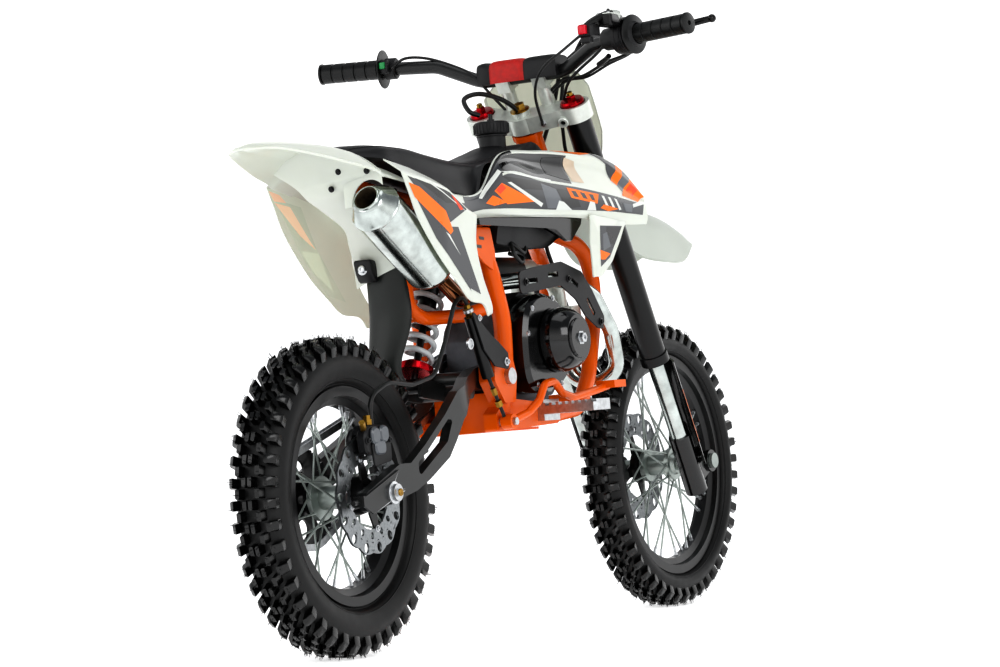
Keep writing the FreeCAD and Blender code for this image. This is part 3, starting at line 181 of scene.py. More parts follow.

# ---- finishes, each named for the real material or for the painted light it carries, with what it gives the eye

finishes = {
    # colour, roughness, metal and clear coat; size in mm and strength of the mottling, then of the grain; and where
    # it differs from plain plastic: specular, glow from within and a painted glow given off as emission

    # cured powder coat: wet-looking orange with a faint orange-peel ripple
    "powderCoatOrange": ("#D65C00", 0.24, 0, 0.1, 60, 0.06, 2.5, 0.03, 0.25),
    # brushed-on black enamel over steel: soft highlights, slightly uneven
    "satinBlackPaint": ("#1C1D1D", 0.34, 0, 0.2, 30, 0.25, 1.5, 0.03),
    # stove enamel on the rims: deep gloss black
    "glossBlackPaint": ("#050506", 0.3, 0, 0.1, 40, 0.1, 2.0, 0.01),
    # zinc plate on steel: pale grey with patches of duller metal
    "zincPlate": ("#C2C4C6", 0.3, 1, 0, 6, 0.15, 0.8, 0.04),
    # ground stainless brake disc: grey with fine swirl marks
    "groundStainless": ("#8E9193", 0.34, 1, 0, 4, 0.18, 0.6, 0.08),
    # polished tube of silencer and exhaust: soft mirror, its reflections spread by fine brushing
    "polishedAlloy": ("#B9BFBC", 0.17, 1, 0, 22, 0.22, 2.0, 0.03),
    # painted light: a polypropylene sheet with a painted glow, laid on faces that are in shade in place of daylight
    # coming through from the outer face
    "paintedLightPolypropylene": ("#C6CABA", 0.4, 0, 0, 70, 0.06, 3.0, 0.01, 0.5, 0.42, 0.4),
    # painted shade: the front mudguard's moulded polypropylene, a shade darker as it is turned from the light, with a
    # faint painted glow
    "shadedPolypropylene": ("#A3A9A0", 0.34, 0, 0.05, 90, 0.05, 3.0, 0.02, 0.5, 0.12, 0.06),
    # moulded faces of the tread blocks: black with a wet gloss from the mould
    "glossTreadRubber": ("#040404", 0.27, 0, 0.25, 14, 0.3, 2.4, 0.12),
    # crimson push button
    "crimsonPlastic": ("#C2122B", 0.3, 0, 0.1, 10, 0.05, 1.0, 0.02),
    # cast lower fork leg: dull silver that stays mid grey
    "castLegAlloy": ("#9DA4A0", 0.3, 0.8, 0, 20, 0.15, 1.2, 0.06),
    # graphics of the far side seen through milky plastic: pale grey and pale orange, with a painted glow
    "ghostGrey": ("#BCC3B3", 0.4, 0, 0, 60, 0.06, 4.0, 0.01, 0.5, 0.4, 0.33),
    "ghostOrange": ("#E0B49A", 0.4, 0, 0, 60, 0.06, 4.0, 0.01, 0.5, 0.4, 0.36),
    # chrome that the exhaust has heated: straw to bronze bands
    "heatTintedChrome": ("#7A5238", 0.16, 1, 0, 28, 0.5, 3.0, 0.03),
    # inside of the outlet: brown-grey soot on steel
    "sootedSteel": ("#5A4F40", 0.55, 0.7, 0, 9, 0.4, 1.0, 0.2),
    # bead blasted alloy clamp: even light grey sparkle
    "blastedAlloy": ("#CDD1CB", 0.36, 0.5, 0, 12, 0.08, 0.9, 0.12),
    # sand cast crankcase: dull warm grey with a pebbled skin
    "sandCastAlloy": ("#5A5C60", 0.5, 0.9, 0, 18, 0.2, 1.4, 0.25),
    # hard anodised black alloy: dark, dry sheen
    "blackAnodised": ("#0B0B0C", 0.3, 0.3, 0.2, 25, 0.1, 1.0, 0.04),
    # moulded tyre rubber: charcoal black with a bloom on its high spots
    "tyreRubber": ("#050505", 0.5, 0, 0, 20, 0.35, 1.8, 0.2),
    # soft black rubber of grips, boots and hoses
    "softRubber": ("#111212", 0.38, 0, 0, 10, 0.2, 1.0, 0.08),
    # injection moulded polypropylene, milky white with a green-grey cast, lets light through, and gives off a faint
    # painted glow
    "milkyPolypropylene": ("#C4C8BF", 0.3, 0, 0.1, 90, 0.03, 3.0, 0.02, 0.5, 0.25, 0.07),
    # pressed rubber sheet: dark grey-green, mottled lighter and darker in patches
    "flapRubber": ("#141815", 0.42, 0, 0.1, 45, 0.35, 1.6, 0.1),
    # textured black polypropylene: grained, dull
    "grainedBlackPlastic": ("#131315", 0.48, 0, 0, 30, 0.2, 1.2, 0.15),
    # polished black plastic cover
    "glossBlackPlastic": ("#070708", 0.14, 0, 0.5, 50, 0.05, 4.0, 0.01),
    # grained vinyl of the seat: pebbled black with a low sheen
    "seatVinyl": ("#121214", 0.48, 0, 0, 40, 0.2, 1.3, 0.3),
    # light grey powder coat of the spring
    "powderCoatGrey": ("#B9BEC0", 0.3, 0, 0.3, 30, 0.08, 2.0, 0.02),
    # woven red cover of the bar pad
    "redWovenCover": ("#AC1A14", 0.5, 0, 0, 8, 0.15, 0.8, 0.3),
    # printed vinyl film in five colours and white, all under the same gloss laminate
    "charcoalFilm": ("#2E3034", 0.28, 0, 0.3, 60, 0.1, 4.0, 0.01),
    "inkBlackFilm": ("#0B0C0D", 0.28, 0, 0.3, 60, 0.1, 4.0, 0.01),
    "orangeFilm": ("#F07200", 0.28, 0, 0.1, 60, 0.05, 4.0, 0.01, 0.25),
    "slateFilm": ("#55595E", 0.28, 0, 0.3, 60, 0.1, 4.0, 0.01),
    # thin polypropylene with the orange frame showing faintly through it
    "tintedPolypropylene": ("#C0AE98", 0.3, 0, 0.1, 50, 0.12, 3.0, 0.02),
    "redFilm": ("#F04410", 0.28, 0, 0.3, 60, 0.05, 4.0, 0.01, 0.25),
    "whiteFilm": ("#CDD0CB", 0.28, 0, 0.3, 60, 0.02, 4.0, 0.01),
    # red anodised fork cap: clear colour over bright metal
    "redAnodised": ("#A0101C", 0.22, 0.9, 0, 20, 0.1, 1.0, 0.03),
    # turned brass of unions and adjusters
    "turnedBrass": ("#9A7A3A", 0.28, 1, 0, 8, 0.2, 0.6, 0.08),
    # glossy green push button
    "greenButton": ("#1F8A4C", 0.3, 0, 0, 10, 0.1, 1.0, 0.02),
}
# the mottling's two ends, how far it spreads the roughness, the clear coat's own roughness, and how
# far daylight reaches into a glowing plastic, in metres
surface = {"mottleFrom": 0.3, "mottleTo": 0.7, "smoother": 0.85, "rougher": 1.2, "coatRoughness": 0.06,
           "glowReach": (0.012, 0.012, 0.009)}


def finish(name, colour, roughness, metal, coat, mottleSize, mottle, grainSize, grain, specular=0.5, glow=0.0,
           paintedGlow=0.0):
    # base colour mottled by coarse noise, roughness spread by it too, and a bump of fine grain
    material = bpy.data.materials.new(name)
    material.use_nodes = True
    tree = material.node_tree
    shader = tree.nodes["Principled BSDF"]
    base = linear(colour)
    place = addNode(tree, "ShaderNodeTexCoord", {}, {})
    coarse = addNode(tree, "ShaderNodeTexNoise", {"Scale": 1000 / mottleSize, "Detail": 4.0},
                     {"Vector": (place, "Object")})
    ramp = colourRamp(tree, coarse, "Fac", (surface["mottleFrom"], [c * (1 - mottle) for c in base]),
                      (surface["mottleTo"], [min(1, c * (1 + mottle)) for c in base]))
    tree.links.new(ramp.outputs["Color"], shader.inputs["Base Color"])
    spread = addNode(tree, "ShaderNodeMapRange",
                     {"To Min": roughness * surface["smoother"], "To Max": roughness * surface["rougher"]},
                     {"Value": (coarse, "Fac")})
    tree.links.new(spread.outputs["Result"], shader.inputs["Roughness"])
    fine = addNode(tree, "ShaderNodeTexNoise", {"Scale": 1000 / grainSize, "Detail": 2.0},
                   {"Vector": (place, "Object")})
    bump = addNode(tree, "ShaderNodeBump", {"Strength": grain, "Distance": grainSize / 4000},
                   {"Height": (fine, "Fac")})
    tree.links.new(bump.outputs["Normal"], shader.inputs["Normal"])
    setSockets(shader, {"Metallic": metal, "Coat Weight": coat, "Coat Roughness": surface["coatRoughness"],
                        "Specular IOR Level": specular})
    if glow:
        setSockets(shader, {"Subsurface Weight": glow, "Subsurface Radius": surface["glowReach"],
                            "Subsurface Scale": 1.0})
    # painted glow: emission in the paint's own colour, brightening the part as if more light fell on it
    if paintedGlow:
        setSockets(shader, {"Emission Color": opaque(base), "Emission Strength": paintedGlow})
    return material


paints = {name: finish(name, *values) for name, values in finishes.items()}
print("finishes made:", len(paints))

# ---- shapes worked out as whole arrays, in the bike's own millimetres

bodyOf = {node: body for body, members in frame["record"]["behaviour"]["bodies"].items() for node in members}
seeded = np.random.default_rng(14)
toRight, toLeft, upward, rearward = (0, -1, 0), (0, 1, 0), (0, 0, 1), (-1, 0, 0)
rearAxle = (0.0, 0.0, stance["rearHeight"])
frontAxle = (stance["wheelbase"], 0.0, stance["frontHeight"])


def unit(vector):
    # each vector over its own length
    vector = np.asarray(vector, float)
    return vector / np.linalg.norm(vector, axis=-1, keepdims=True)


def grid(x, y, z):
    # x, y and z spread over one another into a grid of points
    return np.stack(np.broadcast_arrays(x, y, z), -1).astype(float)


def shares(count, across=False, low=0.0):
    # equal steps from low to 1, down a grid or across it
    steps = np.linspace(low, 1, count)
    return steps[None, :] if across else steps[:, None]


def circle(sides):
    # equal turns round a circle
    return np.linspace(0, 2 * np.pi, sides, endpoint=False)


def smoothCurve(points, count, closed=False):
    # Catmull-Rom: a cubic on each span whose slope at a point joins the points on either side
    p = np.asarray(points, float)
    n = len(p)
    t = np.linspace(0, n, count, endpoint=False) if closed else np.linspace(0, n - 1, count)
    i = np.floor(t).astype(int) if closed else np.minimum(np.floor(t).astype(int), n - 2)
    f = (t - i).reshape((-1,) + (1,) * (p.ndim - 1))
    if closed:
        a, b, c, d = p[(i - 1) % n], p[i % n], p[(i + 1) % n], p[(i + 2) % n]
    else:
        whole = np.concatenate([2 * p[:1] - p[1:2], p, 2 * p[-1:] - p[-2:-1]])
        a, b, c, d = whole[i], whole[i + 1], whole[i + 2], whole[i + 3]
    return 0.5 * (2 * b + (c - a) * f + (2 * a - 5 * b + 4 * c - d) * f ** 2 + (3 * b - a - 3 * c + d) * f ** 3)


def lineThrough(points, perSpan):
    # equal steps along each straight span, every corner kept
    p = np.asarray(points, float)
    share = np.linspace(0, 1, perSpan, endpoint=False).reshape((1, -1) + (1,) * (p.ndim - 1))
    steps = p[:-1, None] + (p[1:, None] - p[:-1, None]) * share
    return np.concatenate([steps.reshape((-1,) + p.shape[1:]), p[-1:]])


def gridFaces(rows, columns, closedRows=False, closedColumns=False):
    # corner numbers of the quads of a grid whose points run row by row
    r = np.arange(rows if closedRows else rows - 1)[:, None]
    c = np.arange(columns if closedColumns else columns - 1)[None, :]
    nextR, nextC = (r + 1) % rows, (c + 1) % columns
    corners = [r * columns + c, r * columns + nextC, nextR * columns + nextC, nextR * columns + c]
    return np.stack(corners, -1).reshape(-1, 4)


def solid(points, faces, paint):
    # a closed surface, turned inside out where its signed volume comes out negative
    points = np.asarray(points, float).reshape(-1, 3)
    corner = points[faces] - points.mean(axis=0)
    volume = sum(np.einsum("ij,ij->i", corner[:, 0], np.cross(corner[:, k], corner[:, k + 1])).sum()
                 for k in range(1, faces.shape[1] - 1))
    return points, faces if volume > 0 else faces[:, ::-1], paint


def copies(points, faces, paint):
    # an array of copies of one closed surface, its faces counted on for each
    points = points.reshape(len(points), -1, 3)
    shift = (np.arange(len(points)) * points.shape[1])[:, None, None]
    return solid(points, (faces[None] + shift).reshape(-1, 4), paint)


def sheet(points, paint, outward):
    # an open grid whose faces look along the given direction
    faces = gridFaces(*points.shape[:2])
    points = np.asarray(points, float).reshape(-1, 3)
    corner = points[faces]
    facing = np.cross(corner[:, 1] - corner[:, 0], corner[:, 2] - corner[:, 0]).sum(axis=0)
    return points, faces if facing @ np.asarray(outward, float) > 0 else faces[:, ::-1], paint


def closedTube(rings, paint, ends=None):
    # rings joined lengthwise and drawn to a point at both ends
    ends = [rings[0].mean(axis=0), rings[-1].mean(axis=0)] if ends is None else ends
    caps = [np.repeat(end[None, None], rings.shape[1], axis=1) for end in ends]
    points = np.concatenate([caps[0], rings, caps[1]])
    return solid(points, gridFaces(len(points), rings.shape[1], closedColumns=True), paint)


def sweep(path, radius, paint, sides=16, reference=upward, flat=1.0):
    # circles square to a path, drawn to a point at both ends
    path = np.asarray(path, float)
    radius = np.broadcast_to(np.asarray(radius, float), (len(path),))
    tangent = np.gradient(path, axis=0)
    side = unit(np.cross(tangent, np.asarray(reference, float)))
    up = unit(np.cross(side, tangent))
    turn = circle(sides)[None, :, None]
    ring = np.cos(turn) * side[:, None] + flat * np.sin(turn) * up[:, None]
    return closedTube(path[:, None] + radius[:, None, None] * ring, paint, path[[0, -1]])


def lathe(profile, centre, axis, paint, sides=48, closed=False):
    # (along, radius) points turned about an axis; closed joins the last point to the first
    profile, axis = np.asarray(profile, float), unit(axis)
    side = unit(np.cross(axis, (0.0, 0.0, 1.0) if abs(axis[2]) < 0.9 else (1.0, 0.0, 0.0)))
    up = np.cross(axis, side)
    turn = circle(sides)[None, :, None]
    ring = np.cos(turn) * side + np.sin(turn) * up
    points = np.asarray(centre, float) + profile[:, 0, None, None] * axis + profile[:, 1, None, None] * ring
    return solid(points, gridFaces(len(profile), sides, closed, True), paint)


def turned(centre, way, *rows):
    # several profiles turned on one axis, each with its paint and its number of sides
    return [lathe(profile, centre, way, paint, sides) for profile, paint, sides in rows]


def barrel(low, high, radius):
    # the profile of a plain cylinder, from one place along the axis to another
    return [(low, 0), (low, radius), (high, radius), (high, 0)]


def rods(starts, ends, radius, paint, sides=6):
    # many straight rods at once, each four rings: a point, two circles and a point
    starts, ends = np.asarray(starts, float), np.asarray(ends, float)
    heading = unit(ends - starts)
    helper = np.where(np.abs(heading[:, 2:]) < 0.9, [[0.0, 0.0, 1.0]], [[1.0, 0.0, 0.0]])
    side = unit(np.cross(heading, helper))
    up = np.cross(heading, side)
    turn = circle(sides)[None, :, None]
    ring = np.cos(turn) * side[:, None] + np.sin(turn) * up[:, None]
    size = np.array([0, radius, radius, 0])[None, :, None, None]
    place = np.stack([starts, starts, ends, ends], axis=1)[:, :, None]
    return copies(place + size * ring[:, None], gridFaces(4, sides, closedColumns=True), paint)


def shell(outer, inner, paint):
    # an outer and an inner grid of points joined round their borders into one thin closed wall
    rows, columns = outer.shape[:2]
    points = np.concatenate([outer.reshape(-1, 3), inner.reshape(-1, 3)])
    top = gridFaces(rows, columns)
    number = np.arange(rows * columns).reshape(rows, columns)
    border = np.concatenate([number[0, :-1], number[:-1, -1], number[-1, :0:-1], number[:0:-1, 0]])
    after = np.roll(border, -1)
    rim = np.stack([border, border + rows * columns, after + rows * columns, after], -1)
    return solid(points, np.concatenate([top, top[:, ::-1] + rows * columns, rim]), paint)


def patch(corners, count):
    # a grid between four corners: straight shares along two sides, then across
    a, b, c, d = [np.asarray(corner, float) for corner in corners]
    u = np.linspace(0, 1, count)[:, None, None]
    v = np.linspace(0, 1, count)[None, :, None]
    return (a * (1 - u) + d * u) * (1 - v) + (b * (1 - u) + c * u) * v


def filmParts(rows, count, onSkin):
    # printed film: each row's patch laid on the skin, by a function of the patch and its number
    return [sheet(onSkin(patch(corners, count), step), paint, toRight)
            for step, (paint, *corners) in enumerate(rows)]


def easedOutline(outline, reach, steps=5):
    # a closed outline whose corners are rounded by quadratic curves of the given reach
    p = np.asarray(outline, float)
    before, after = np.roll(p, 1, axis=0) - p, np.roll(p, -1, axis=0) - p
    start = p + before * np.minimum(0.45, reach / np.linalg.norm(before, axis=1))[:, None]
    end = p + after * np.minimum(0.45, reach / np.linalg.norm(after, axis=1))[:, None]
    t = np.linspace(0, 1, steps)[None, :, None]
    curve = (1 - t) ** 2 * start[:, None] + 2 * t * (1 - t) * p[:, None] + t ** 2 * end[:, None]
    return curve.reshape(-1, 2)


def slab(outline, ease, near, far, paint, bevel=1.0, axis=1, steps=5):
    # an eased outline drawn out along one axis, its edges bevelled, each end closed at its middle
    outline = easedOutline(outline, ease, steps)
    middle = outline.mean(axis=0)
    away = outline - middle
    inset = middle + away * (1 - bevel / np.linalg.norm(away, axis=1, keepdims=True))
    flat = np.repeat(middle[None], len(outline), axis=0)
    layers = [(flat, near), (inset, near), (outline, near + bevel), (outline, far - bevel), (inset, far), (flat, far)]
    points = np.stack([np.insert(line, axis, place, axis=1) for line, place in layers])
    return solid(points, gridFaces(len(layers), len(outline), closedColumns=True), paint)


def box(low, high, paint, ease=3.0, bevel=1.0):
    # a moulded block between two corners, its upright edges eased
    corners = [(low[0], low[2]), (high[0], low[2]), (high[0], high[2]), (low[0], high[2])]
    return slab(corners, ease, low[1], high[1], paint, bevel)


def moved(place, *parts):
    # the same parts put through a function of place, or shifted
    return [(place(points) if callable(place) else points + place, faces, paint) for points, faces, paint in parts]


def boltHeads(places, way, radius, paint="zincPlate", sides=6):
    # at each place a washer and a hexagon (or round) head with a dimple
    washer = [(-1, 0), (-1, radius * 1.5), (1.0, radius * 1.5), (1.4, radius * 1.35), (1.4, 0)]
    head = [(1, 0), (1, radius), (radius * 0.9, radius), (radius, radius * 0.86), (radius, radius * 0.45),
            (radius * 0.7, radius * 0.4), (radius * 0.7, 0)]
    return [part for place in places for part in turned(place, way, (washer, paint, 20), (head, paint, sides))]


def mergeAndShade(mesh, distance, smoothAngle):
    # points closer than the distance joined, then smooth below the given edge angle
    work = bmesh.new()
    work.from_mesh(mesh)
    bmesh.ops.remove_doubles(work, verts=work.verts, dist=distance)
    work.to_mesh(mesh)
    work.free()
    mesh.shade_smooth()
    mesh.set_sharp_from_angle(angle=math.radians(smoothAngle))


def dress(piece, node, replaces):
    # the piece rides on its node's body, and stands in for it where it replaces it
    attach(piece, bodyOf[node])
    if replaces:
        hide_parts(node)


def buildPiece(name, parts, node, replaces=True, smoothAngle=34):
    # parts are (points, faces, paint): joined into one mesh, merged, parked and shaded by edge angle
    points, faces, marks, start = [], [], [], 0
    used = list(dict.fromkeys(paint for _, _, paint in parts))
    for corner, quads, paint in parts:
        points.append(corner)
        faces += (quads + start).tolist()
        marks += [used.index(paint)] * len(quads)
        start += len(corner)
    mesh = bpy.data.meshes.new(name)
    mesh.from_pydata(parked(np.concatenate(points)).tolist(), [], faces)
    mesh.polygons.foreach_set("material_index", marks)
    for paint in used:
        mesh.materials.append(paints[paint])
    mergeAndShade(mesh, 2e-6, smoothAngle)
    piece = bpy.data.objects.new(name, mesh)
    bpy.context.scene.collection.objects.link(piece)
    dress(piece, node, replaces)
    return piece


def flipped(*parts):
    # the same parts on the other side of the bike
    return [(points * (1, -1, 1), faces[:, ::-1], paint) for points, faces, paint in parts]


# ---- tyres: a smooth carcass with rows of chamfered blocks and the moulding's fine hairs

tyres = {
    "tyre_rear": dict(centre=rearAxle, pitches=44,
                      carcass=[(0, 226), (19, 225), (31, 218), (39, 207), (41.5, 196), (38, 182), (33, 174),
                               (24, 168.5), (22.5, 160), (22.5, 154.5)],
                      # outline of a block as (across, radius), its length, its phase in pitches
                      rows=[([(1.5, 219), (1.5, 241), (8.5, 241), (9, 219)], 15, 0.0),
                            ([(13, 218), (13.5, 240.4), (21, 239.6), (22, 216)], 15, 0.5),
                            ([(25.5, 214), (26.5, 238), (33, 235.5), (40, 225), (37, 210)], 15, 0.0)],
                      hairCount=1100),
    "tyre_front": dict(centre=frontAxle, pitches=48,
                       carcass=[(0, 232), (15, 231), (25, 224), (31.5, 214), (33, 206), (30, 200), (24, 195),
                                (17.5, 192), (16.5, 186), (16.5, 180)],
                       rows=[([(1.2, 225), (1.2, 244.4), (7, 244.4), (7.5, 225)], 13, 0.0),
                             ([(10.5, 224), (11, 244), (17, 243.4), (18, 222)], 14, 0.5),
                             ([(20.5, 220), (21.5, 242), (27.5, 239.5), (34.5, 230), (30, 216)], 14, 0.0)],
                       hairCount=1100),
}


# how far a block's ends are drawn in, over what length, and how far below its middle that begins, in mm
knob = {"drawnIn": 1.6, "chamfer": 1.8, "shoulder": 4}
# hairs: radius, how deep they are rooted, their reach, and how they scatter and lean out past the shoulder
hair = {"radius": 0.4, "root": 1, "shortest": 3.0, "longest": 7.0, "scatter": 1.2, "sideways": 2.5,
        "shoulderFrom": 24}


def roundAxle(points, turns, centre):
    # points (along the tread, across, radius) set on the wheel at the given turns
    turns = np.asarray(turns, float)[:, None]
    reach, height = points[None, :, 0], points[None, :, 2]
    x = centre[0] + height * np.cos(turns) - reach * np.sin(turns)
    z = centre[2] + height * np.sin(turns) + reach * np.cos(turns)
    return grid(x, points[None, :, 1], z)


def knobs(outline, length, phase, pitches, side, centre):
    # a block drawn in four copies of its outline along the tread, the end ones drawn in by a chamfer
    outline = np.asarray(outline, float)
    high = outline[:, 1:] > outline[:, 1].mean() - knob["shoulder"]
    inward = outline + knob["drawnIn"] * np.sign(outline.mean(axis=0) - outline) * high
    half = length / 2
    rings = [grid(place, ring[:, 0] * side, ring[:, 1])
             for place, ring in ((-half, inward), (knob["chamfer"] - half, outline),
                                 (half - knob["chamfer"], outline), (half, inward))]
    middle = [np.repeat(ring.mean(axis=0)[None], len(outline), axis=0) for ring in (rings[0], rings[-1])]
    local = np.concatenate([middle[0], *rings, middle[1]])
    turns = 2 * np.pi * (np.arange(pitches) + phase) / pitches
    return copies(roundAxle(local, turns, centre), gridFaces(6, len(outline), closedColumns=True),
                  "glossTreadRubber")


def hairs(outline, length, phase, pitches, count, centre):
    # rods that stand out from a row of blocks at seeded turns, each with its own lean
    top = np.asarray(outline[1:3], float)
    spot = top[0] + (top[1] - top[0]) * seeded.uniform(0, 1, (count, 1))
    edge = seeded.choice([-0.5, 0.5], count) * length / top[0, 1] * seeded.uniform(0.2, 1, count)
    turns = 2 * np.pi * (seeded.integers(0, pitches, count) + phase) / pitches + edge
    outward = np.stack([np.cos(turns), np.zeros(count), np.sin(turns)], -1)
    root = outward * (spot[:, 1:] - hair["root"])
    root[:, 1] = spot[:, 0] * seeded.choice([-1, 1], count)
    lean = (outward * seeded.uniform(hair["shortest"], hair["longest"], (count, 1))
            + seeded.normal(0, hair["scatter"], (count, 3)))
    lean[:, 1] += (np.sign(root[:, 1]) * seeded.uniform(0, hair["sideways"], count)
                   * (spot[:, 0] > hair["shoulderFrom"]))
    return rods(root + centre, root + centre + lean, hair["radius"], "glossTreadRubber", 3)


def buildTyre(name, centre, pitches, carcass, rows, hairCount):
    # half a section mirrored and turned about the axle, then its blocks, bands and hairs
    half = smoothCurve(carcass, 40)
    whole = np.concatenate([half[::-1] * (-1, 1), half[1:]])
    parts = [lathe(whole, centre, toLeft, "tyreRubber", 144, closed=True)]
    parts += [knobs(*row, pitches, side, centre) for row in rows for side in (1, -1)]
    # thin raised bands on each sidewall
    for side in (1, -1):
        for (across, radius), height in ((half[24], 0.7), (half[30], 0.5)):
            ring = [(side * (across - 1), radius - 1.2), (side * (across + height), radius - 0.6),
                    (side * (across + height), radius + 0.6), (side * (across - 1), radius + 1.2)]
            parts.append(lathe(ring, centre, toLeft, "tyreRubber", 96, closed=True))
    parts += [hairs(*row, pitches, hairCount // len(rows), centre) for row in rows]
    buildPiece(name + "_rubber", parts, name, smoothAngle=40)


for name, values in tyres.items():
    buildTyre(name, **values)
print("tyres built")

# ---- spoke nipples at the rims: rim and hub radius, half distance of the hub's flanges

nipples = {"rear": dict(centre=rearAxle, rim=138.2, hub=28, flange=26),
           "front": dict(centre=frontAxle, rim=163.7, hub=22, flange=24)}


def buildNipples(wheel, centre, rim, hub, flange, count=16):
    # one short barrel along each spoke, just inside the rim, the spokes leaning both ways in turn
    lead = np.where(np.arange(count) % 2, 1, -1)
    ends = []
    for side, phase in ((1, 0.25), (-1, 0.75)):
        start = 2 * np.pi * (np.arange(count) + phase) / count
        across = side * (flange + 1.6 * lead)
        ends.append([[np.cos(start) * hub, across, np.sin(start) * hub],
                     [np.cos(start + lead * math.radians(38)) * rim, np.full(count, side * 3.0),
                      np.sin(start + lead * math.radians(38)) * rim]])
    start, end = np.transpose(ends, (1, 0, 3, 2)).reshape(2, -1, 3)
    way = unit(end - start)
    parts = [rods(end - way * back + centre, end + way * ahead + centre, radius, "zincPlate", 8)
             for back, ahead, radius in ((14, 1, 2.6), (3, 0.5, 3.4))]
    buildPiece("nipples_" + wheel, parts, "hub_" + wheel, replaces=False)


for wheel, values in nipples.items():
    buildNipples(wheel, **values)

# ---- brake discs: tiles in polar steps, each with its own hole, under a scalloped edge

discs = {
    # rings of tiles: inner and outer radius, hole half width along and across, phase
    "disc_rear": dict(centre=rearAxle, place=-58.0, hubEnd=-40.0,
                      rings=[(71, 91, 6.4, 8.0, 0.0), (52, 71, 4.4, 5.4, 0.5)]),
    "disc_front": dict(centre=frontAxle, place=46.0, hubEnd=34.0,
                       rings=[(73, 94, 6.6, 8.4, 0.0), (55, 73, 4.4, 5.4, 0.5)]),
}
rotor = {"petals": 14, "scallop": 3.2, "thickness": 3.5, "arms": 4, "firstArm": 0.3, "boltCircle": 54,
         "arm": [(24, -11), (24, 11), (56, 6), (60, 0), (56, -6)]}


def discTiles(inner, outer, across, along, phase, centre, place):
    # each tile is a closed loop: square border, round hole, then the same on the far side
    turn = circle(28)
    unitCircle = np.stack([np.cos(turn), np.sin(turn)], -1)
    square = unitCircle / np.abs(unitCircle).max(axis=1, keepdims=True)
    middle, half, step = (inner + outer) / 2, (outer - inner) / 2, 2 * np.pi / rotor["petals"]
    border = np.stack([square[:, 0] * step / 2, middle + square[:, 1] * half], -1)
    hole = np.stack([unitCircle[:, 0] * across / middle, middle + unitCircle[:, 1] * along], -1)
    loops = np.stack([border, hole, hole, border])[None]
    bearing = loops[..., 0] + (np.arange(rotor["petals"]) + phase)[:, None, None] * step
    # only the outer ring is scalloped, by a cosine that fades inwards
    edge = (loops[..., 1] - inner) / (outer - inner) * (outer > 80)
    radius = loops[..., 1] - rotor["scallop"] * (0.5 - 0.5 * np.cos(rotor["petals"] * bearing)) * edge ** 3
    y = place + np.array([1, 1, -1, -1])[None, :, None] * rotor["thickness"] / 2
    points = grid(radius * np.cos(bearing), y, radius * np.sin(bearing)) + centre
    return copies(points, gridFaces(4, len(turn), True, True), "groundStainless")


def buildDisc(name, centre, place, hubEnd, rings):
    # rings of tiles, a turned carrier up to the hub, and arms with a bolt each at equal angles
    outward = math.copysign(1, place)
    parts = [discTiles(*ring, centre, place) for ring in rings]
    near, far = sorted((hubEnd, place - 2.2 * outward))
    parts.append(lathe([(near, 17.5), (near, 26), (far, 30), (far + 1, 30), (far + 1, 17.5)],
                       (centre[0], 0, centre[2]), toLeft, "blackAnodised", 48, closed=True))
    for index in range(rotor["arms"]):
        turnBy = index * 2 * np.pi / rotor["arms"] + rotor["firstArm"]
        cosine, sine = math.cos(turnBy), math.sin(turnBy)
        parts += moved(lambda p: grid(centre[0] + p[:, 0] * cosine - p[:, 2] * sine, p[:, 1],
                                      centre[2] + p[:, 0] * sine + p[:, 2] * cosine),
                       slab(rotor["arm"], 4, place - 1.6, place + 1.6, "blackAnodised", 0.6))
        spot = (centre[0] + rotor["boltCircle"] * cosine, place + 1.6 * outward,
                centre[2] + rotor["boltCircle"] * sine)
        parts += boltHeads([spot], (0, outward, 0), 3.6, "zincPlate", 16)
    buildPiece(name + "_petal", parts, name)


for name, values in discs.items():
    buildDisc(name, **values)
print("brake discs built")

# ---- shrouds: a smoothed skin with a scoop, a hanging wing and printed film

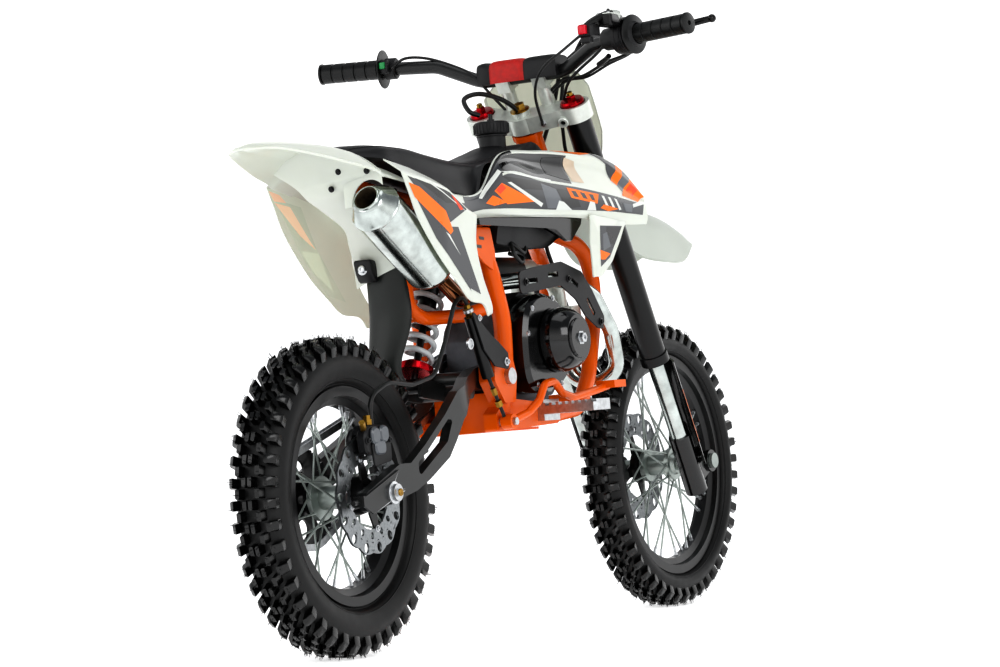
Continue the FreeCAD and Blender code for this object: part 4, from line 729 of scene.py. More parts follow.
shroud = {
    # x, then outward y and z from the fin's top down to the lower lip
    "sections": [(200, [(99, 709), (99.5, 708), (100, 707), (100.5, 706), (101, 704), (100, 702)]),
                 (268, [(97, 694), (98, 690), (99, 686), (100, 682), (102, 666), (98, 654)]),
                 (340, [(99, 700), (100, 697), (101, 694), (103, 690), (106, 670), (102, 658)]),
                 (412, [(99, 760), (101, 755), (102, 748), (109, 730), (112, 671), (107, 659)]),
                 (520, [(100, 769), (106, 764), (100, 748), (117, 718), (121, 670), (115, 660)]),
                 (620, [(112, 768), (119, 761), (113, 742), (125, 710), (128, 670), (122, 659)]),
                 (706, [(121, 763), (128, 752), (122, 735), (131, 700), (133, 669), (128, 651)]),
                 (773, [(128, 738), (132, 724), (128, 708), (133, 691), (135, 666), (131, 649)]),
                 (836, [(132, 696), (133, 692), (131, 688), (134, 683), (135, 662), (132, 650)])],
    "wall": 3.2,
    "wing": [(640, 664), (632, 622), (634, 562), (663, 562), (703, 587), (737, 623), (762, 654)],
    # moulded colour bands as x and share down from the fin's top: 1 strip, 2 scoop, 3 crease, 4 band, 5 lip
    "bands": [("glossBlackPlastic", (398, 0.1), (446, 0.0), (446, 1.0), (398, 1.2)),
              ("glossBlackPlastic", (346, 0.22), (400, 0.06), (400, 1.2), (346, 1.2)),
              ("charcoalFilm", (286, 0.5), (400, 1.15), (400, 3.08), (286, 3.12)),
              ("glossBlackPlastic", (396, 1.1), (600, 1.1), (600, 2.93), (392, 2.95)),
              ("charcoalFilm", (270, 3.1), (352, 3.1), (352, 3.97), (262, 3.97)),
              ("charcoalFilm", (352, 3.06), (480, 3.05), (480, 3.96), (352, 3.97)),
              ("charcoalFilm", (480, 3.05), (640, 3.05), (640, 3.97), (480, 3.96)),
              ("charcoalFilm", (640, 3.05), (760, 3.05), (760, 3.97), (640, 3.97)),
              ("charcoalFilm", (760, 3.05), (827, 3.1), (818, 3.9), (760, 3.97))],
    # printed film: corners as x and z
    "film": [("inkBlackFilm", (398, 724), (520, 716), (560, 702), (440, 704)),
             ("slateFilm", (506, 714), (548, 705), (566, 674), (516, 673)),
             ("inkBlackFilm", (548, 706), (604, 702), (616, 676), (572, 673)),
             ("orangeFilm", (372, 700), (394, 713), (486, 684), (402, 679)),
             ("orangeFilm", (344, 680), (366, 693), (404, 682), (366, 676)),
             ("redFilm", (376, 701), (394, 712), (404, 705), (386, 695)),
             ("whiteFilm", (410, 714), (420, 715), (504, 681), (498, 675)),
             ("whiteFilm", (540, 671), (552, 686), (566, 684), (588, 671)),
             ("orangeFilm", (580, 708), (676, 698), (668, 682), (590, 691)),
             ("inkBlackFilm", (592, 703), (606, 702), (614, 692), (600, 693)),
             ("inkBlackFilm", (618, 701), (632, 699), (640, 689), (626, 691)),
             ("inkBlackFilm", (644, 698), (658, 697), (662, 687), (652, 688)),
             ("whiteFilm", (634, 671), (646, 686), (660, 684), (662, 671)),
             ("whiteFilm", (684, 696), (692, 695), (704, 676), (696, 675)),
             ("whiteFilm", (704, 694), (712, 693), (724, 675), (716, 674)),
             ("whiteFilm", (724, 692), (732, 690), (744, 673), (736, 672)),
             ("orangeFilm", (676, 675), (688, 681), (736, 674), (700, 670)),
             ("slateFilm", (752, 684), (786, 682), (780, 669), (758, 670)),
             ("orangeFilm", (546, 771), (600, 772), (690, 767), (640, 763)),
             ("inkBlackFilm", (672, 767), (714, 761), (726, 742), (704, 752)),
             ("charcoalFilm", (704, 760), (750, 748), (732, 722), (716, 742)),
             ("orangeFilm", (748, 749), (768, 740), (750, 714), (732, 722)),
             ("slateFilm", (768, 740), (790, 726), (764, 702), (750, 714)),
             ("orangeFilm", (788, 726), (832, 696), (806, 687), (756, 697)),
             ("redFilm", (790, 722), (812, 708), (796, 696), (776, 706)),
             ("whiteFilm", (786, 683), (830, 690), (831, 684), (786, 677)),
             ("inkBlackFilm", (540, 757), (590, 758), (598, 719), (536, 730)),
             ("tintedPolypropylene", (596, 758), (626, 752), (640, 716), (604, 718)),
             ("whiteFilm", (394, 732), (412, 732), (540, 720), (536, 716)),
             ("whiteFilm", (328, 688), (336, 687), (398, 731), (392, 735))],
    "wingFilm": [("charcoalFilm", (668, 646), (745, 646), (694, 594), (660, 578)),
                 ("inkBlackFilm", (690, 644), (742, 644), (712, 614), (684, 622)),
                 ("slateFilm", (676, 632), (690, 636), (700, 612), (672, 604)),
                 ("orangeFilm", (662, 606), (696, 600), (676, 590), (662, 590))],
}


def shroudGrid(lift, columns=150, rows=46):
    # the sections made smooth both ways, then lifted outward by a few tenths for film
    x = np.array([x for x, _ in shroud["sections"]], float)[:, None]
    pairs = np.array([pairs for _, pairs in shroud["sections"]], float)
    table = grid(x, pairs[..., 0], pairs[..., 1])
    whole = smoothCurve(np.swapaxes(smoothCurve(table, columns), 0, 1), rows)
    return np.stack([whole[..., 0], -(whole[..., 1] + lift), whole[..., 2]], -1)


def onShroudRows(place, lift):
    # places given as x and share down the skin, read off its grid of points
    skin = shroudGrid(lift)
    column = np.interp(place[..., 0], skin[0, :, 0], np.arange(skin.shape[1]))
    row = place[..., 1] / 5 * (skin.shape[0] - 1)
    r = np.floor(row).astype(int).clip(0, skin.shape[0] - 2)
    c = np.floor(column).astype(int).clip(0, skin.shape[1] - 2)
    fr, fc = (row - r)[..., None], (column - c)[..., None]
    return ((skin[r, c] * (1 - fc) + skin[r, c + 1] * fc) * (1 - fr)
            + (skin[r + 1, c] * (1 - fc) + skin[r + 1, c + 1] * fc) * fr)


def onShroud(place, lift):
    # places given as x and z: the skin's column at x, then its outward place at that height
    skin = shroudGrid(lift)
    column = np.interp(place[..., 0], skin[0, :, 0], np.arange(skin.shape[1]))
    c = np.floor(column).astype(int).clip(0, skin.shape[1] - 2)
    share = (column - c)[..., None]
    line = np.moveaxis(skin, 0, 1)
    line = line[c] * (1 - share[..., None]) + line[c + 1] * share[..., None]
    height = np.clip(place[..., 1], line[..., -1, 2], line[..., 0, 2])
    r = ((line[..., 2] > height[..., None]).sum(axis=-1) - 1).clip(0, skin.shape[0] - 2)[..., None]
    above = np.take_along_axis(line, r[..., None], -2)[..., 0, :]
    below = np.take_along_axis(line, r[..., None] + 1, -2)[..., 0, :]
    drop = np.maximum(above[..., 2] - below[..., 2], 1e-6)
    mix = ((above[..., 2] - height) / drop).clip(0, 1)[..., None]
    return above * (1 - mix) + below * mix


def shroudParts():
    # a thin wall between two lifts of the skin, a wing drawn from its outline, then the printed film
    wing = np.array(shroud["wing"], float)
    ring = smoothCurve(lineThrough(np.concatenate([wing, wing[:1]]), 4)[:-1], 60, closed=True)
    middle = np.repeat(ring.mean(axis=0)[None], len(ring), axis=0)
    inset = middle + (ring - middle) * 0.97
    layers = [(middle, 132.3), (inset, 132.3), (ring, 131.3), (ring, 129.4), (inset, 128.8), (middle, 128.8)]
    points = np.stack([grid(line[:, 0], -y, line[:, 1]) for line, y in layers])
    return [shell(shroudGrid(0.0), shroudGrid(-shroud["wall"]), "milkyPolypropylene"),
            solid(points, gridFaces(len(layers), len(ring), closedColumns=True), "milkyPolypropylene"),
            *filmParts(shroud["bands"], 22, lambda place, step: onShroudRows(place, 0.2)),
            *filmParts(shroud["film"], 22, lambda place, step: onShroud(place, 0.34 + 0.012 * step)),
            *filmParts(shroud["wingFilm"], 6,
                       lambda place, step: grid(place[..., 0], -132.6 - 0.05 * step, place[..., 1]))]


rightShroud = shroudParts()
buildPiece("shroud_right_skin", rightShroud, "shroud_right")
buildPiece("shroud_left_skin", flipped(*rightShroud), "shroud_left")

# ---- side panels: a blend between their four edges, set on the plan curve, with a rolled border

sidePanel = {
    "top": [(66, 723), (130, 714), (202, 698), (262, 670), (299, 660)],
    "bottom": [(312, 502), (330, 506)],
    "rear": [(66, 723), (82, 694), (108, 648), (163, 590), (213, 551), (250, 526), (294, 520), (312, 502)],
    "front": [(299, 660), (287, 614), (302, 566), (330, 524), (330, 506)],
    "plan": [(40, 123), (180, 124), (280, 118), (370, 104)],
    "wall": 3.0,
    "film": [("charcoalFilm", (80, 716), (204, 693), (258, 668), (180, 640)),
             ("charcoalFilm", (84, 704), (180, 640), (252, 540), (150, 622)),
             ("charcoalFilm", (180, 640), (224, 640), (284, 536), (246, 546)),
             ("inkBlackFilm", (100, 713), (196, 695), (236, 678), (190, 676)),
             ("orangeFilm", (82, 706), (112, 700), (186, 664), (206, 634)),
             ("orangeFilm", (82, 706), (206, 634), (196, 628), (96, 684)),
             ("whiteFilm", (140, 707), (150, 706), (258, 664), (250, 666)),
             ("whiteFilm", (180, 632), (192, 628), (224, 596), (214, 604)),
             ("redFilm", (208, 690), (222, 684), (246, 668), (236, 666))],
    # graphics of the left panel that show through to its inner face, with a painted glow
    "ghosts": [("ghostGrey", (84, 706), (160, 694), (232, 560), (160, 606)),
               ("ghostOrange", (84, 700), (128, 694), (192, 628), (150, 650)),
               ("ghostGrey", (150, 626), (200, 622), (262, 545), (212, 556)),
               ("ghostOrange", (70, 718), (100, 712), (118, 700), (84, 702))],
}


def panelSide(x):
    # distance from the middle plane, read off the plan line
    return np.interp(x, *np.array(sidePanel["plan"], float).T)


def coons(top, bottom, left, right):
    # a grid that meets four border curves: both pairs blended, less the corners' own blend
    u = np.linspace(0, 1, len(left))[:, None, None]
    v = np.linspace(0, 1, len(top))[None, :, None]
    across = top[None] * (1 - u) + bottom[None] * u
    down = left[:, None] * (1 - v) + right[:, None] * v
    corners = ((top[0] * (1 - v) + top[-1] * v) * (1 - u) + (bottom[0] * (1 - v) + bottom[-1] * v) * u)
    return across + down - corners


def panelLip():
    # a thin ledge along the top edge, rising outward and fading toward the front
    share = shares(30)
    x = 66 + 150 * share
    low = grid(x, -panelSide(x) + 2, np.interp(x, *np.array(sidePanel["top"], float).T) - 1)
    high = low + (-6, 26, 20) * (1 - 0.4 * share[..., None])
    ledge = low + (high - low) * np.linspace(0, 1, 8)[None, :, None]
    return shell(ledge, ledge + (0, 0, 2.2), "milkyPolypropylene")


edgeCounts = {"top": 40, "bottom": 40, "rear": 70, "front": 70}
flat = coons(*(smoothCurve(sidePanel[key], count) for key, count in edgeCounts.items()))
x, y, z = flat[..., 0], panelSide(flat[..., 0]), flat[..., 1]
rows, columns = [np.minimum(np.arange(count), np.arange(count)[::-1]) for count in flat.shape[:2]]
rolled = 1.6 * (1 - np.clip(np.minimum(rows[:, None], columns[None, :]) / 2.0, 0, 1)) ** 2
wall = sidePanel["wall"]
rightPanel = [shell(grid(x, -(y - rolled), z), grid(x, -(y - wall), z), "milkyPolypropylene"),
              *filmParts(sidePanel["film"], 12, lambda place, step: grid(
                  place[..., 0], -(panelSide(place[..., 0]) + 0.25 + 0.03 * step), place[..., 1])),
              panelLip()]
# the left panel's inner face lies in shade and is covered by a sheet with painted light; its own graphics show
# through as pale patches, also with a painted glow
ghostParts = [sheet(grid(x, y - wall - 0.15, z), "paintedLightPolypropylene", toRight),
              *filmParts(sidePanel["ghosts"], 12, lambda place, step: grid(
                  place[..., 0], panelSide(place[..., 0]) - wall - 0.3 - 0.05 * step, place[..., 1]))]
buildPiece("side_panel_right_skin", rightPanel, "side_panel_right")
buildPiece("side_panel_left_skin", flipped(*rightPanel) + ghostParts, "side_panel_left")
print("shrouds and side panels built")

# ---- mudguards: an arch that widens and narrows along x, with a raised spine

arches = {
    "rear_fender": dict(paint="milkyPolypropylene", spine=5.0, wall=2.8,
                        sections=[(-176, 8, 766, 1), (-172, 22, 768, 3), (-150, 46, 773, 9), (-90, 70, 776, 22),
                                  (-20, 90, 776, 36), (30, 99, 772, 42), (48, 101, 762, 40),
                                  (60, 102, 754.6, 34), (109, 106, 744.8, 32)]),
    "fender_front": dict(paint="shadedPolypropylene", spine=4.0, wall=2.6,
                         sections=[(806, 34, 682, 8), (850, 48, 691, 34), (930, 64, 697, 88), (1030, 70, 691, 94),
                                   (1110, 60, 680, 80), (1165, 46, 664, 44), (1198, 32, 646, 14),
                                   (1203, 14, 643, 4)]),
}


def archGrid(sections, spine, lift, columns=90, rows=41):
    # height falls from the crown as |share| to the power 2.2, with a soft ridge along the middle
    x, half, crown, drop = smoothCurve(sections, columns).T
    share = shares(rows, low=-1)
    fade = np.clip(half / 60, 0, 1)
    ridge = spine * np.exp(-(share * half / 14) ** 2) * fade
    crease = 2.0 * np.exp(-((np.abs(share) - 0.62) / 0.08) ** 2) * fade
    height = crown - drop * np.abs(share) ** 2.2 + ridge * 0.5 + crease * 0.6 - spine * 0.5 + lift
    return grid(x, (half + lift * np.abs(share)) * share, height)


for name, values in arches.items():
    outer = archGrid(values["sections"], values["spine"], 0.0)
    inner = archGrid(values["sections"], values["spine"], -values["wall"])
    parts = [shell(outer, inner, values["paint"])]
    if name == "rear_fender":
        # two posts carry it on the subframe
        parts += [rods([(84.0, y, 716.0)], [(84.0, y, 745.0)], 8, "milkyPolypropylene", 20) for y in (-32, 32)]
    else:
        # a rod and a plate hang it under the lower clamp
        parts += moved(onFork, slab([(24, -30), (70, -30), (70, 30), (24, 30)], 6, 515.7, 519.7,
                                    "blackAnodised", 1, 2),
                       lathe([(480, 0), (480, 10), (519, 10), (519, 0)], (36, 0, 0), upward, "blackAnodised", 24))
    buildPiece(name + "_skin", parts, name, smoothAngle=40)

# ---- inner guard between mudguard, silencer and flap, with a wing beside the silencer

guard = {"left": [(28, 84, 742), (40, 62, 722), (47, 48, 706), (56, 42, 694), (84, 36, 678), (130, 28, 650),
                  (168, 44, 625), (197, 57, 600), (203, 57, 560)],
         "right": [(28, -92, 730), (42, -90, 724), (47, -60, 718), (58, -33, 696), (86, -33, 678), (134, -33, 649),
                   (170, -32, 624), (197, -28, 602), (200, -28, 590)],
         "bow": 5, "wall": (2.4, 0, 1.4), "wingWall": (2.4, 0, 0),
         "bolts": [((38, -28, 731), (-1, 0, -0.2)), ((40, -12, 706), (-1, 0, -0.3)), ((38, -78, 727), (-1, 0, -0.2))]}


def underMudguard(across, crown):
    # height of the mudguard's underside at a place across it
    return crown - 42 * np.abs(across / 99) ** 2.2


def guardSkin(count=60):
    # straight lines between the left and right edges, bowed back, the top drawn up to the mudguard
    left, right = (smoothCurve(guard[edge], count)[:, None] for edge in ("left", "right"))
    share = np.linspace(0, 1, 28)[None, :, None]
    skin = left + (right - left) * share
    skin[..., 0] -= guard["bow"] * np.sin(np.pi * share[..., 0])
    rise = underMudguard(skin[:1, :, 1], 768) - skin[:1, :, 2]
    skin[..., 2] += rise * np.clip(1 - np.linspace(0, 5, count), 0, 1)[:, None]
    return skin


def wingSkin():
    # an upright sheet from the mudguard down to the silencer's round top
    down, across = shares(14), np.linspace(-98, -30, 30)[None, :]
    top = underMudguard(across, 767)
    foot = 675 + np.sqrt(np.clip(33.5 ** 2 - (across + 76) ** 2, 0, None)) / 0.857
    return grid(44 + 3 * down, across, top + (foot - top) * down)


guardParts = [shell(skin, skin + wall, "milkyPolypropylene")
              for skin, wall in ((guardSkin(), guard["wall"]), (wingSkin(), guard["wingWall"]))]
for spot, way in guard["bolts"]:
    guardParts += boltHeads([spot], way, 3.2, "blackAnodised", 20)
buildPiece("inner_guard", guardParts, "rear_fender", replaces=False)
print("mudguards built")

# ---- number plate, curved sheet ahead of the fork with a rolled border

plate = {"heights": [566, 600, 640, 690, 722, 744], "halves": [62, 80, 99, 102, 101, 78],
         "bulge": 103.0, "sweep": 35.0, "wall": 2.6}


def plateGrid(back, rows=40, columns=50):
    # swept back from its middle as the distance across to the power 2.6
    height = np.linspace(plate["heights"][0], plate["heights"][-1], rows)[:, None]
    across = np.interp(height, plate["heights"], plate["halves"]) * shares(columns, True, -1)
    ahead = plate["bulge"] - plate["sweep"] * np.abs(across / 103) ** 2.6 - back
    return onFork(grid(ahead, across, height))


def plateArm(low, high, *shape):
    # a straight bar between two places on the fork
    return sweep(onFork(lineThrough([low, high], 4)), *shape)


buildPiece("number_plate_skin", [
    shell(plateGrid(0.0), plateGrid(plate["wall"]), "milkyPolypropylene"),
    # a sheet with painted light lies on the plate's rear face, which is in shade
    sheet(plateGrid(plate["wall"] + 0.2)[1:-1, 1:-1], "paintedLightPolypropylene", rearward),
    plateArm((47, 0, 572.5), (103, 0, 572.5), 5.5, "grainedBlackPlastic", 12, toLeft),
    plateArm((46, 0, 526), (46, 0, 574), 20, "grainedBlackPlastic", 4, toLeft, 0.12)], "number_plate")

# ---- seat: a smoothed saddle with a flat base and its stitched seams

saddle = {
    # x, lower half width, lower height, upper half width, height of the top
    "sections": [(60, 38, 753, 26, 765), (72, 52, 751, 40, 770), (110, 76, 743, 60, 773), (150, 87, 716, 66, 771),
                 (190, 91, 707, 70, 768), (240, 93, 699, 73, 760.5), (296, 93, 692, 74, 754),
                 (338, 89, 693, 70, 752), (392, 77, 743, 60, 754), (470, 71, 751, 53, 764.5),
                 (548, 57, 771, 40, 786)],
    "crown": 2.0,
}


def mirroredRings(x, halfWidths, heights, count):
    # half sections from the bottom's middle to the top's, made smooth, then closed on the other side
    half = np.stack([np.concatenate(halfWidths, 1), np.concatenate(heights, 1)], -1)
    side = np.swapaxes(smoothCurve(np.swapaxes(half, 0, 1), count), 0, 1)
    ring = np.concatenate([side, side[:, -2:0:-1] * (-1, 1)], 1)
    return grid(x, ring[..., 0], ring[..., 1])


x, low, base, top, height = smoothCurve(saddle["sections"], 130).T[..., None]
seatRings = mirroredRings(x, [low * 0.0, low * 0.985, low, low * 0.45 + top * 0.55, top, top * 0.62, top * 0.0],
                          [base, base, base + 2.5, base * 0.45 + (height - 9) * 0.55, height - 8, height - 0.6,
                           height + saddle["crown"]], 29)
seam = seatRings[4:-4, 21]
seamParts = [sweep(line + (0, 0, 0.2), 0.9, "seatVinyl", 6) for line in (seam, seam * (1, -1, 1))]
seatPiece = buildPiece("seat_cover", [closedTube(seatRings, "seatVinyl")] + seamParts, "seat", smoothAngle=60)

# ---- fuel tank, its ribbed cap and the stub of its breather

tank = {
    # x, then half width and height of the bottom edge, the flank and the top edge
    "sections": [(405, 84, 618, 92, 690, 60, 738), (440, 86, 615, 95, 691, 60, 742),
                 (470, 88, 612, 97.5, 692, 60, 746), (548, 88, 613, 97.5, 696, 56, 766),
                 (590, 87, 626, 97, 699, 56, 781), (612, 86, 640, 97, 702, 55, 790),
                 (645, 66, 708, 84, 738, 44, 780)],
}
x, lowHalf, low, midHalf, mid, topHalf, top = smoothCurve(tank["sections"], 60).T[..., None]
tankRings = mirroredRings(x, [x * 0, lowHalf * 0.96, lowHalf, midHalf * 0.995, midHalf,
                              midHalf * 0.5 + topHalf * 0.5, topHalf, topHalf * 0.55, x * 0],
                          [low, low, low + 4, low * 0.4 + mid * 0.6, mid, mid * 0.42 + top * 0.58, top - 1.5, top,
                           top], 34)
buildPiece("fuel_tank_skin", [closedTube(tankRings, "grainedBlackPlastic")], "fuel_tank", smoothAngle=50)

cap = {"place": (568.0, 0.0, 806.0), "ribs": 28, "ribCircle": 28.4, "ribFrom": 809.0, "ribLength": 15,
       "cover": [(0, 0), (0, 22), (0.5, 22), (1.5, 27.5), (4, 28.4), (18, 28.6), (20.5, 27.4), (22, 24), (22.4, 12),
                 (22.4, 0)],
       "neck": [(-24, 0), (-24, 22), (-2, 22), (-2, 25), (0, 25), (0, 0)],
       "stub": [(22, 0), (22, 6), (26, 6), (26, 3.6), (35, 3.4), (35, 0)]}
capParts = turned(cap["place"], upward, (cap["cover"], "grainedBlackPlastic", 72),
                  (cap["neck"], "grainedBlackPlastic", 40), (cap["stub"], "softRubber", 20))
ribTurn = circle(cap["ribs"])
ribFoot = grid(cap["place"][0] + cap["ribCircle"] * np.cos(ribTurn), cap["ribCircle"] * np.sin(ribTurn),
               cap["ribFrom"])
capParts.insert(2, rods(ribFoot, ribFoot + (0, 0, cap["ribLength"]), 1.3, "grainedBlackPlastic", 8))
buildPiece("tank_cap_ribbed", capParts, "tank_cap")
print("seat and tank built")

# ---- silencer, turned along its slanting axis, with its sooted bore

silencer = {"outlet": np.array((45.0, -76.0, 679.0)), "way": unit((207.0, 0.0, -125.0)), "length": 188.0,
            "shell": [(-13.8, 18.4), (-15, 19), (-15.2, 20.4), (-14.4, 21.4), (-12.5, 21.6), (-11, 20.8),
                      (-9.5, 24.5), (-7, 26.5), (12, 38.5), (14, 39.6), (15, 40.6), (17, 40.6),
                      (18, 39.8), (20, 39.6), (180, 39.6),
                      (182, 40.4), (186, 40.4), (188, 39.6), (192, 38), (210, 24), (218, 16.5), (219, 15.8),
                      (219, 13.2), (210, 12.6), (60, 12.6), (52, 18.4)],
            "cup": [(50, 0), (49.6, 17.4), (-13.4, 17.9), (-13.6, 18.5), (51.5, 18.5), (51.5, 0)]}
buildPiece("silencer_turned", [
    lathe(silencer["shell"], silencer["outlet"], silencer["way"], "polishedAlloy", 96, closed=True),
    lathe(silencer["cup"], silencer["outlet"], silencer["way"], "sootedSteel", 64),
    box((140, -52.4, 640), (166, -49.4, 706), "blackAnodised", 4, 0.8)], "silencer")


def bentPath(points, bend, steps=9):
    # corners eased by a quadratic curve that leaves and meets the straight runs at equal reach
    p = np.asarray(points, float)
    before, after = p[:-2] - p[1:-1], p[2:] - p[1:-1]
    lengthBefore = np.linalg.norm(before, axis=1, keepdims=True)
    lengthAfter = np.linalg.norm(after, axis=1, keepdims=True)
    cosine = (before * after).sum(axis=1, keepdims=True) / (lengthBefore * lengthAfter)
    turn = np.pi - np.arccos(np.clip(cosine, -1, 1))
    reach = np.minimum(bend * np.tan(turn / 2), 0.48 * np.minimum(lengthBefore, lengthAfter))
    start, end = p[1:-1] + before / lengthBefore * reach, p[1:-1] + after / lengthAfter * reach
    t = np.linspace(0, 1, steps)[None, :, None]
    curve = (1 - t) ** 2 * start[:, None] + 2 * t * (1 - t) * p[1:-1, None] + t ** 2 * end[:, None]
    return np.concatenate([p[:1], curve.reshape(-1, 3), p[-1:]])


exhaust = {"points": [(752, -6, 435.4), (757, -12, 402), (768, -52, 386), (782, -84, 412), (754, -91, 476),
                      (704, -91, 532), (640, -90, 557), (560, -89, 563), (474, -70, 561), (404, -44, 556),
                      (352, -50, 541)],
           # last corner and end, as reach beyond the silencer's length along its axis
           "joins": (101, 30.3), "bend": 45, "radius": 13.0, "tintedFrom": 84}
joins = [silencer["outlet"] + silencer["way"] * (silencer["length"] + reach) for reach in exhaust["joins"]]
exhaustPath = bentPath(np.vstack([exhaust["points"], *joins]), exhaust["bend"])
runs = [(exhaustPath[:exhaust["tintedFrom"]], "polishedAlloy"),
        (exhaustPath[exhaust["tintedFrom"] - 1:], "heatTintedChrome")]
buildPiece("exhaust_pipe_bent", [sweep(run, exhaust["radius"], paint, 32, (0.2, 1, 0.3)) for run, paint in runs],
           "exhaust_pipe", smoothAngle=50)
print("exhaust built")

# ---- spring, a round wire wound round the damper

coil = {"low": np.array((252.0, 0, 402)), "high": np.array((352.0, 0, 601)), "turns": 5.5, "start": 38.9,
        "length": 132.2, "radius": 22.0, "wire": 4.6}
coilWay = unit(coil["high"] - coil["low"])
share = shares(220)
coilTurn = 2 * np.pi * coil["turns"] * share
coilPath = (coil["low"] + coilWay * (coil["start"] + coil["length"] * share)
            + coil["radius"] * (np.cos(coilTurn) * toLeft + np.sin(coilTurn) * np.cross(toLeft, coilWay)))
buildPiece("spring_wire", [sweep(coilPath, coil["wire"], "powderCoatGrey", 14, coilWay)], "spring", smoothAngle=50)

# ---- grips with ribs, and the padded bar cover

middle = onFork((44.1, 0, 762.7))
barEnd, barInner = middle + (-70, -347, 42.0), middle + (-49, -236, 38.64)
gripWay = unit(barEnd - barInner)
grip = {"length": 112, "bands": 5, "pitch": 20.4, "band": [(8, 14.6), (9, 14.6), (10, 16.4), (26, 16.4), (27, 14.6),
                                                           (28, 14.6)],
        "flange": [(112.4, 0), (112.4, 11.3), (0, 11.3), (0, 31.0), (0.8, 32.4), (2.2, 32.4), (3.6, 30), (5, 19),
                   (7, 15.6)],
        "end": [(110.6, 17.6), (113.4, 17.4), (114.6, 15), (115, 4), (112, 3.4), (112, 0)]}
bands = np.arange(grip["bands"])[:, None, None] * (grip["pitch"], 0) + np.array(grip["band"])
gripProfile = np.concatenate([grip["flange"], bands.reshape(-1, 2), grip["end"]])
rightGrip = lathe(gripProfile, barEnd - gripWay * grip["length"], gripWay, "softRubber", 48)
buildPiece("grips_ribbed", [rightGrip, *flipped(rightGrip)], "grips", smoothAngle=30)

pad = {"half": 75.0, "redFrom": -14.0, "redTo": 51.0, "openTo": 0.12, "power": 0.42}


def padWall(low, high, swell, paint, pinch):
    # a rounded block over the bar: an arch outside and the bar's half round inside
    share = shares(26)
    y = low + (high - low) * share
    ease = 1 - np.exp(-np.minimum(share, 1 - share) * (high - low) / pinch)
    turn = np.linspace(np.pi * (1 + pad["openTo"]), -np.pi * pad["openTo"], 41)[None, :]
    cosine, sine = np.cos(turn), np.sin(turn)
    across = np.sign(cosine) * np.abs(cosine) ** pad["power"] * (23.5 + (2.5 + swell) * ease)
    height = np.where(sine > 0, np.abs(sine) ** pad["power"] * (27.5 + (2.5 + swell) * ease),
                      -8.0 * np.abs(sine) / math.sin(np.pi * pad["openTo"]))
    return shell(grid(across, y, height) + middle, grid(cosine * 11.6, y, sine * 11.6) + middle, paint)


padPiece = buildPiece("bar_pad_cover", [padWall(pad["redFrom"], pad["redTo"], 0.6, "redWovenCover", 4.0),
                                        padWall(-pad["half"], pad["redFrom"], 0.0, "seatVinyl", 5.0),
                                        padWall(pad["redTo"], pad["half"], 0.0, "seatVinyl", 5.0)],
                      "bar_pad", smoothAngle=50)

# ---- throttle drum, button box, cable block, lever and perch on the right, switch on the left

controls = {
    "drum": [(0, 11.4), (12, 17.6), (4, 22), (-1, 27.5), (-2, 30.1), (-6, 30.5), (-7, 28.9), (-8, 30.5), (-16, 30.5),
             (-17, 28.5), (-18, 29.5), (-27, 28.5), (-29, 24.5), (-31, 19), (-54, 18), (-58, 15), (-58, 11.4)],
    "lever": [(2, -196, 30), (14, -214, 36), (-2, -262, 42), (-16, -328, 47), (-12, -362, 51)],
    "perch": [(-34, -196, 40), (-16, -200, 44), (8, -204, 38)],
    "sleeve": [(608, -224, 978), (590, -216, 978), (562, -206, 968), (548, -200, 960)],
    "ferrule": [(612, -226, 977), (606, -223, 978.5), (600, -220, 978.8)],
    "leverBall": [(-7, 0), (-6.4, 3), (-3.5, 6.1), (0, 7), (3.5, 6.1), (6.4, 3), (7, 0)],
    "collar": [(-2, 11.4), (-2, 16.5), (-3.5, 18), (-20, 18), (-22, 16), (-22, 11.4)],
    # outline, ease, height from and to, paint and bevel, upward from the block's middle
    "block": (np.array((600, -216, 970)),
              [([(-24, -16), (26, -14), (26, 14), (-24, 16)], 7, -10, 8, "blackAnodised", 2.0),
               ([(-22, -14), (24, -12), (24, 12), (-22, 14)], 6, 8, 10.4, "blastedAlloy", 0.8),
               ([(-16, -9), (16, -8), (16, 8), (-16, 9)], 5, 10.2, 12, "grainedBlackPlastic", 0.8)]),
    # low and high corner, paint, ease and bevel, round the box's middle
    "buttonBox": (np.array((562, -197, 955)),
                  [((-20, -16, -14), (12, 10, 8), "grainedBlackPlastic", 6, 3),
                   ((-27, -8, -9), (-12, 6, 6), "crimsonPlastic", 2.5, 1.5),
                   ((-20, -12, -24), (-6, 6, -12), "grainedBlackPlastic", 4, 2)]),
}
drumStart = barEnd - gripWay * 113
leftStart, leftWay = drumStart * (1, -1, 1), gripWay * (1, -1, 1)
leftBoxes = [((-26, -19, -10), (-13, -3, 13), "grainedBlackPlastic", 4, 2.0),
             ((-29, -16, -2), (-25, -6, 9), "greenButton", 1.5, 0.8)]
leverPath = smoothCurve(controls["lever"], 40) + middle
leverSize = np.interp(np.arange(40), [0, 4, 34, 39], [6, 5.4, 4.2, 4.2])
blockPlace, blockRows = controls["block"]
boxPlace, boxRows = controls["buttonBox"]
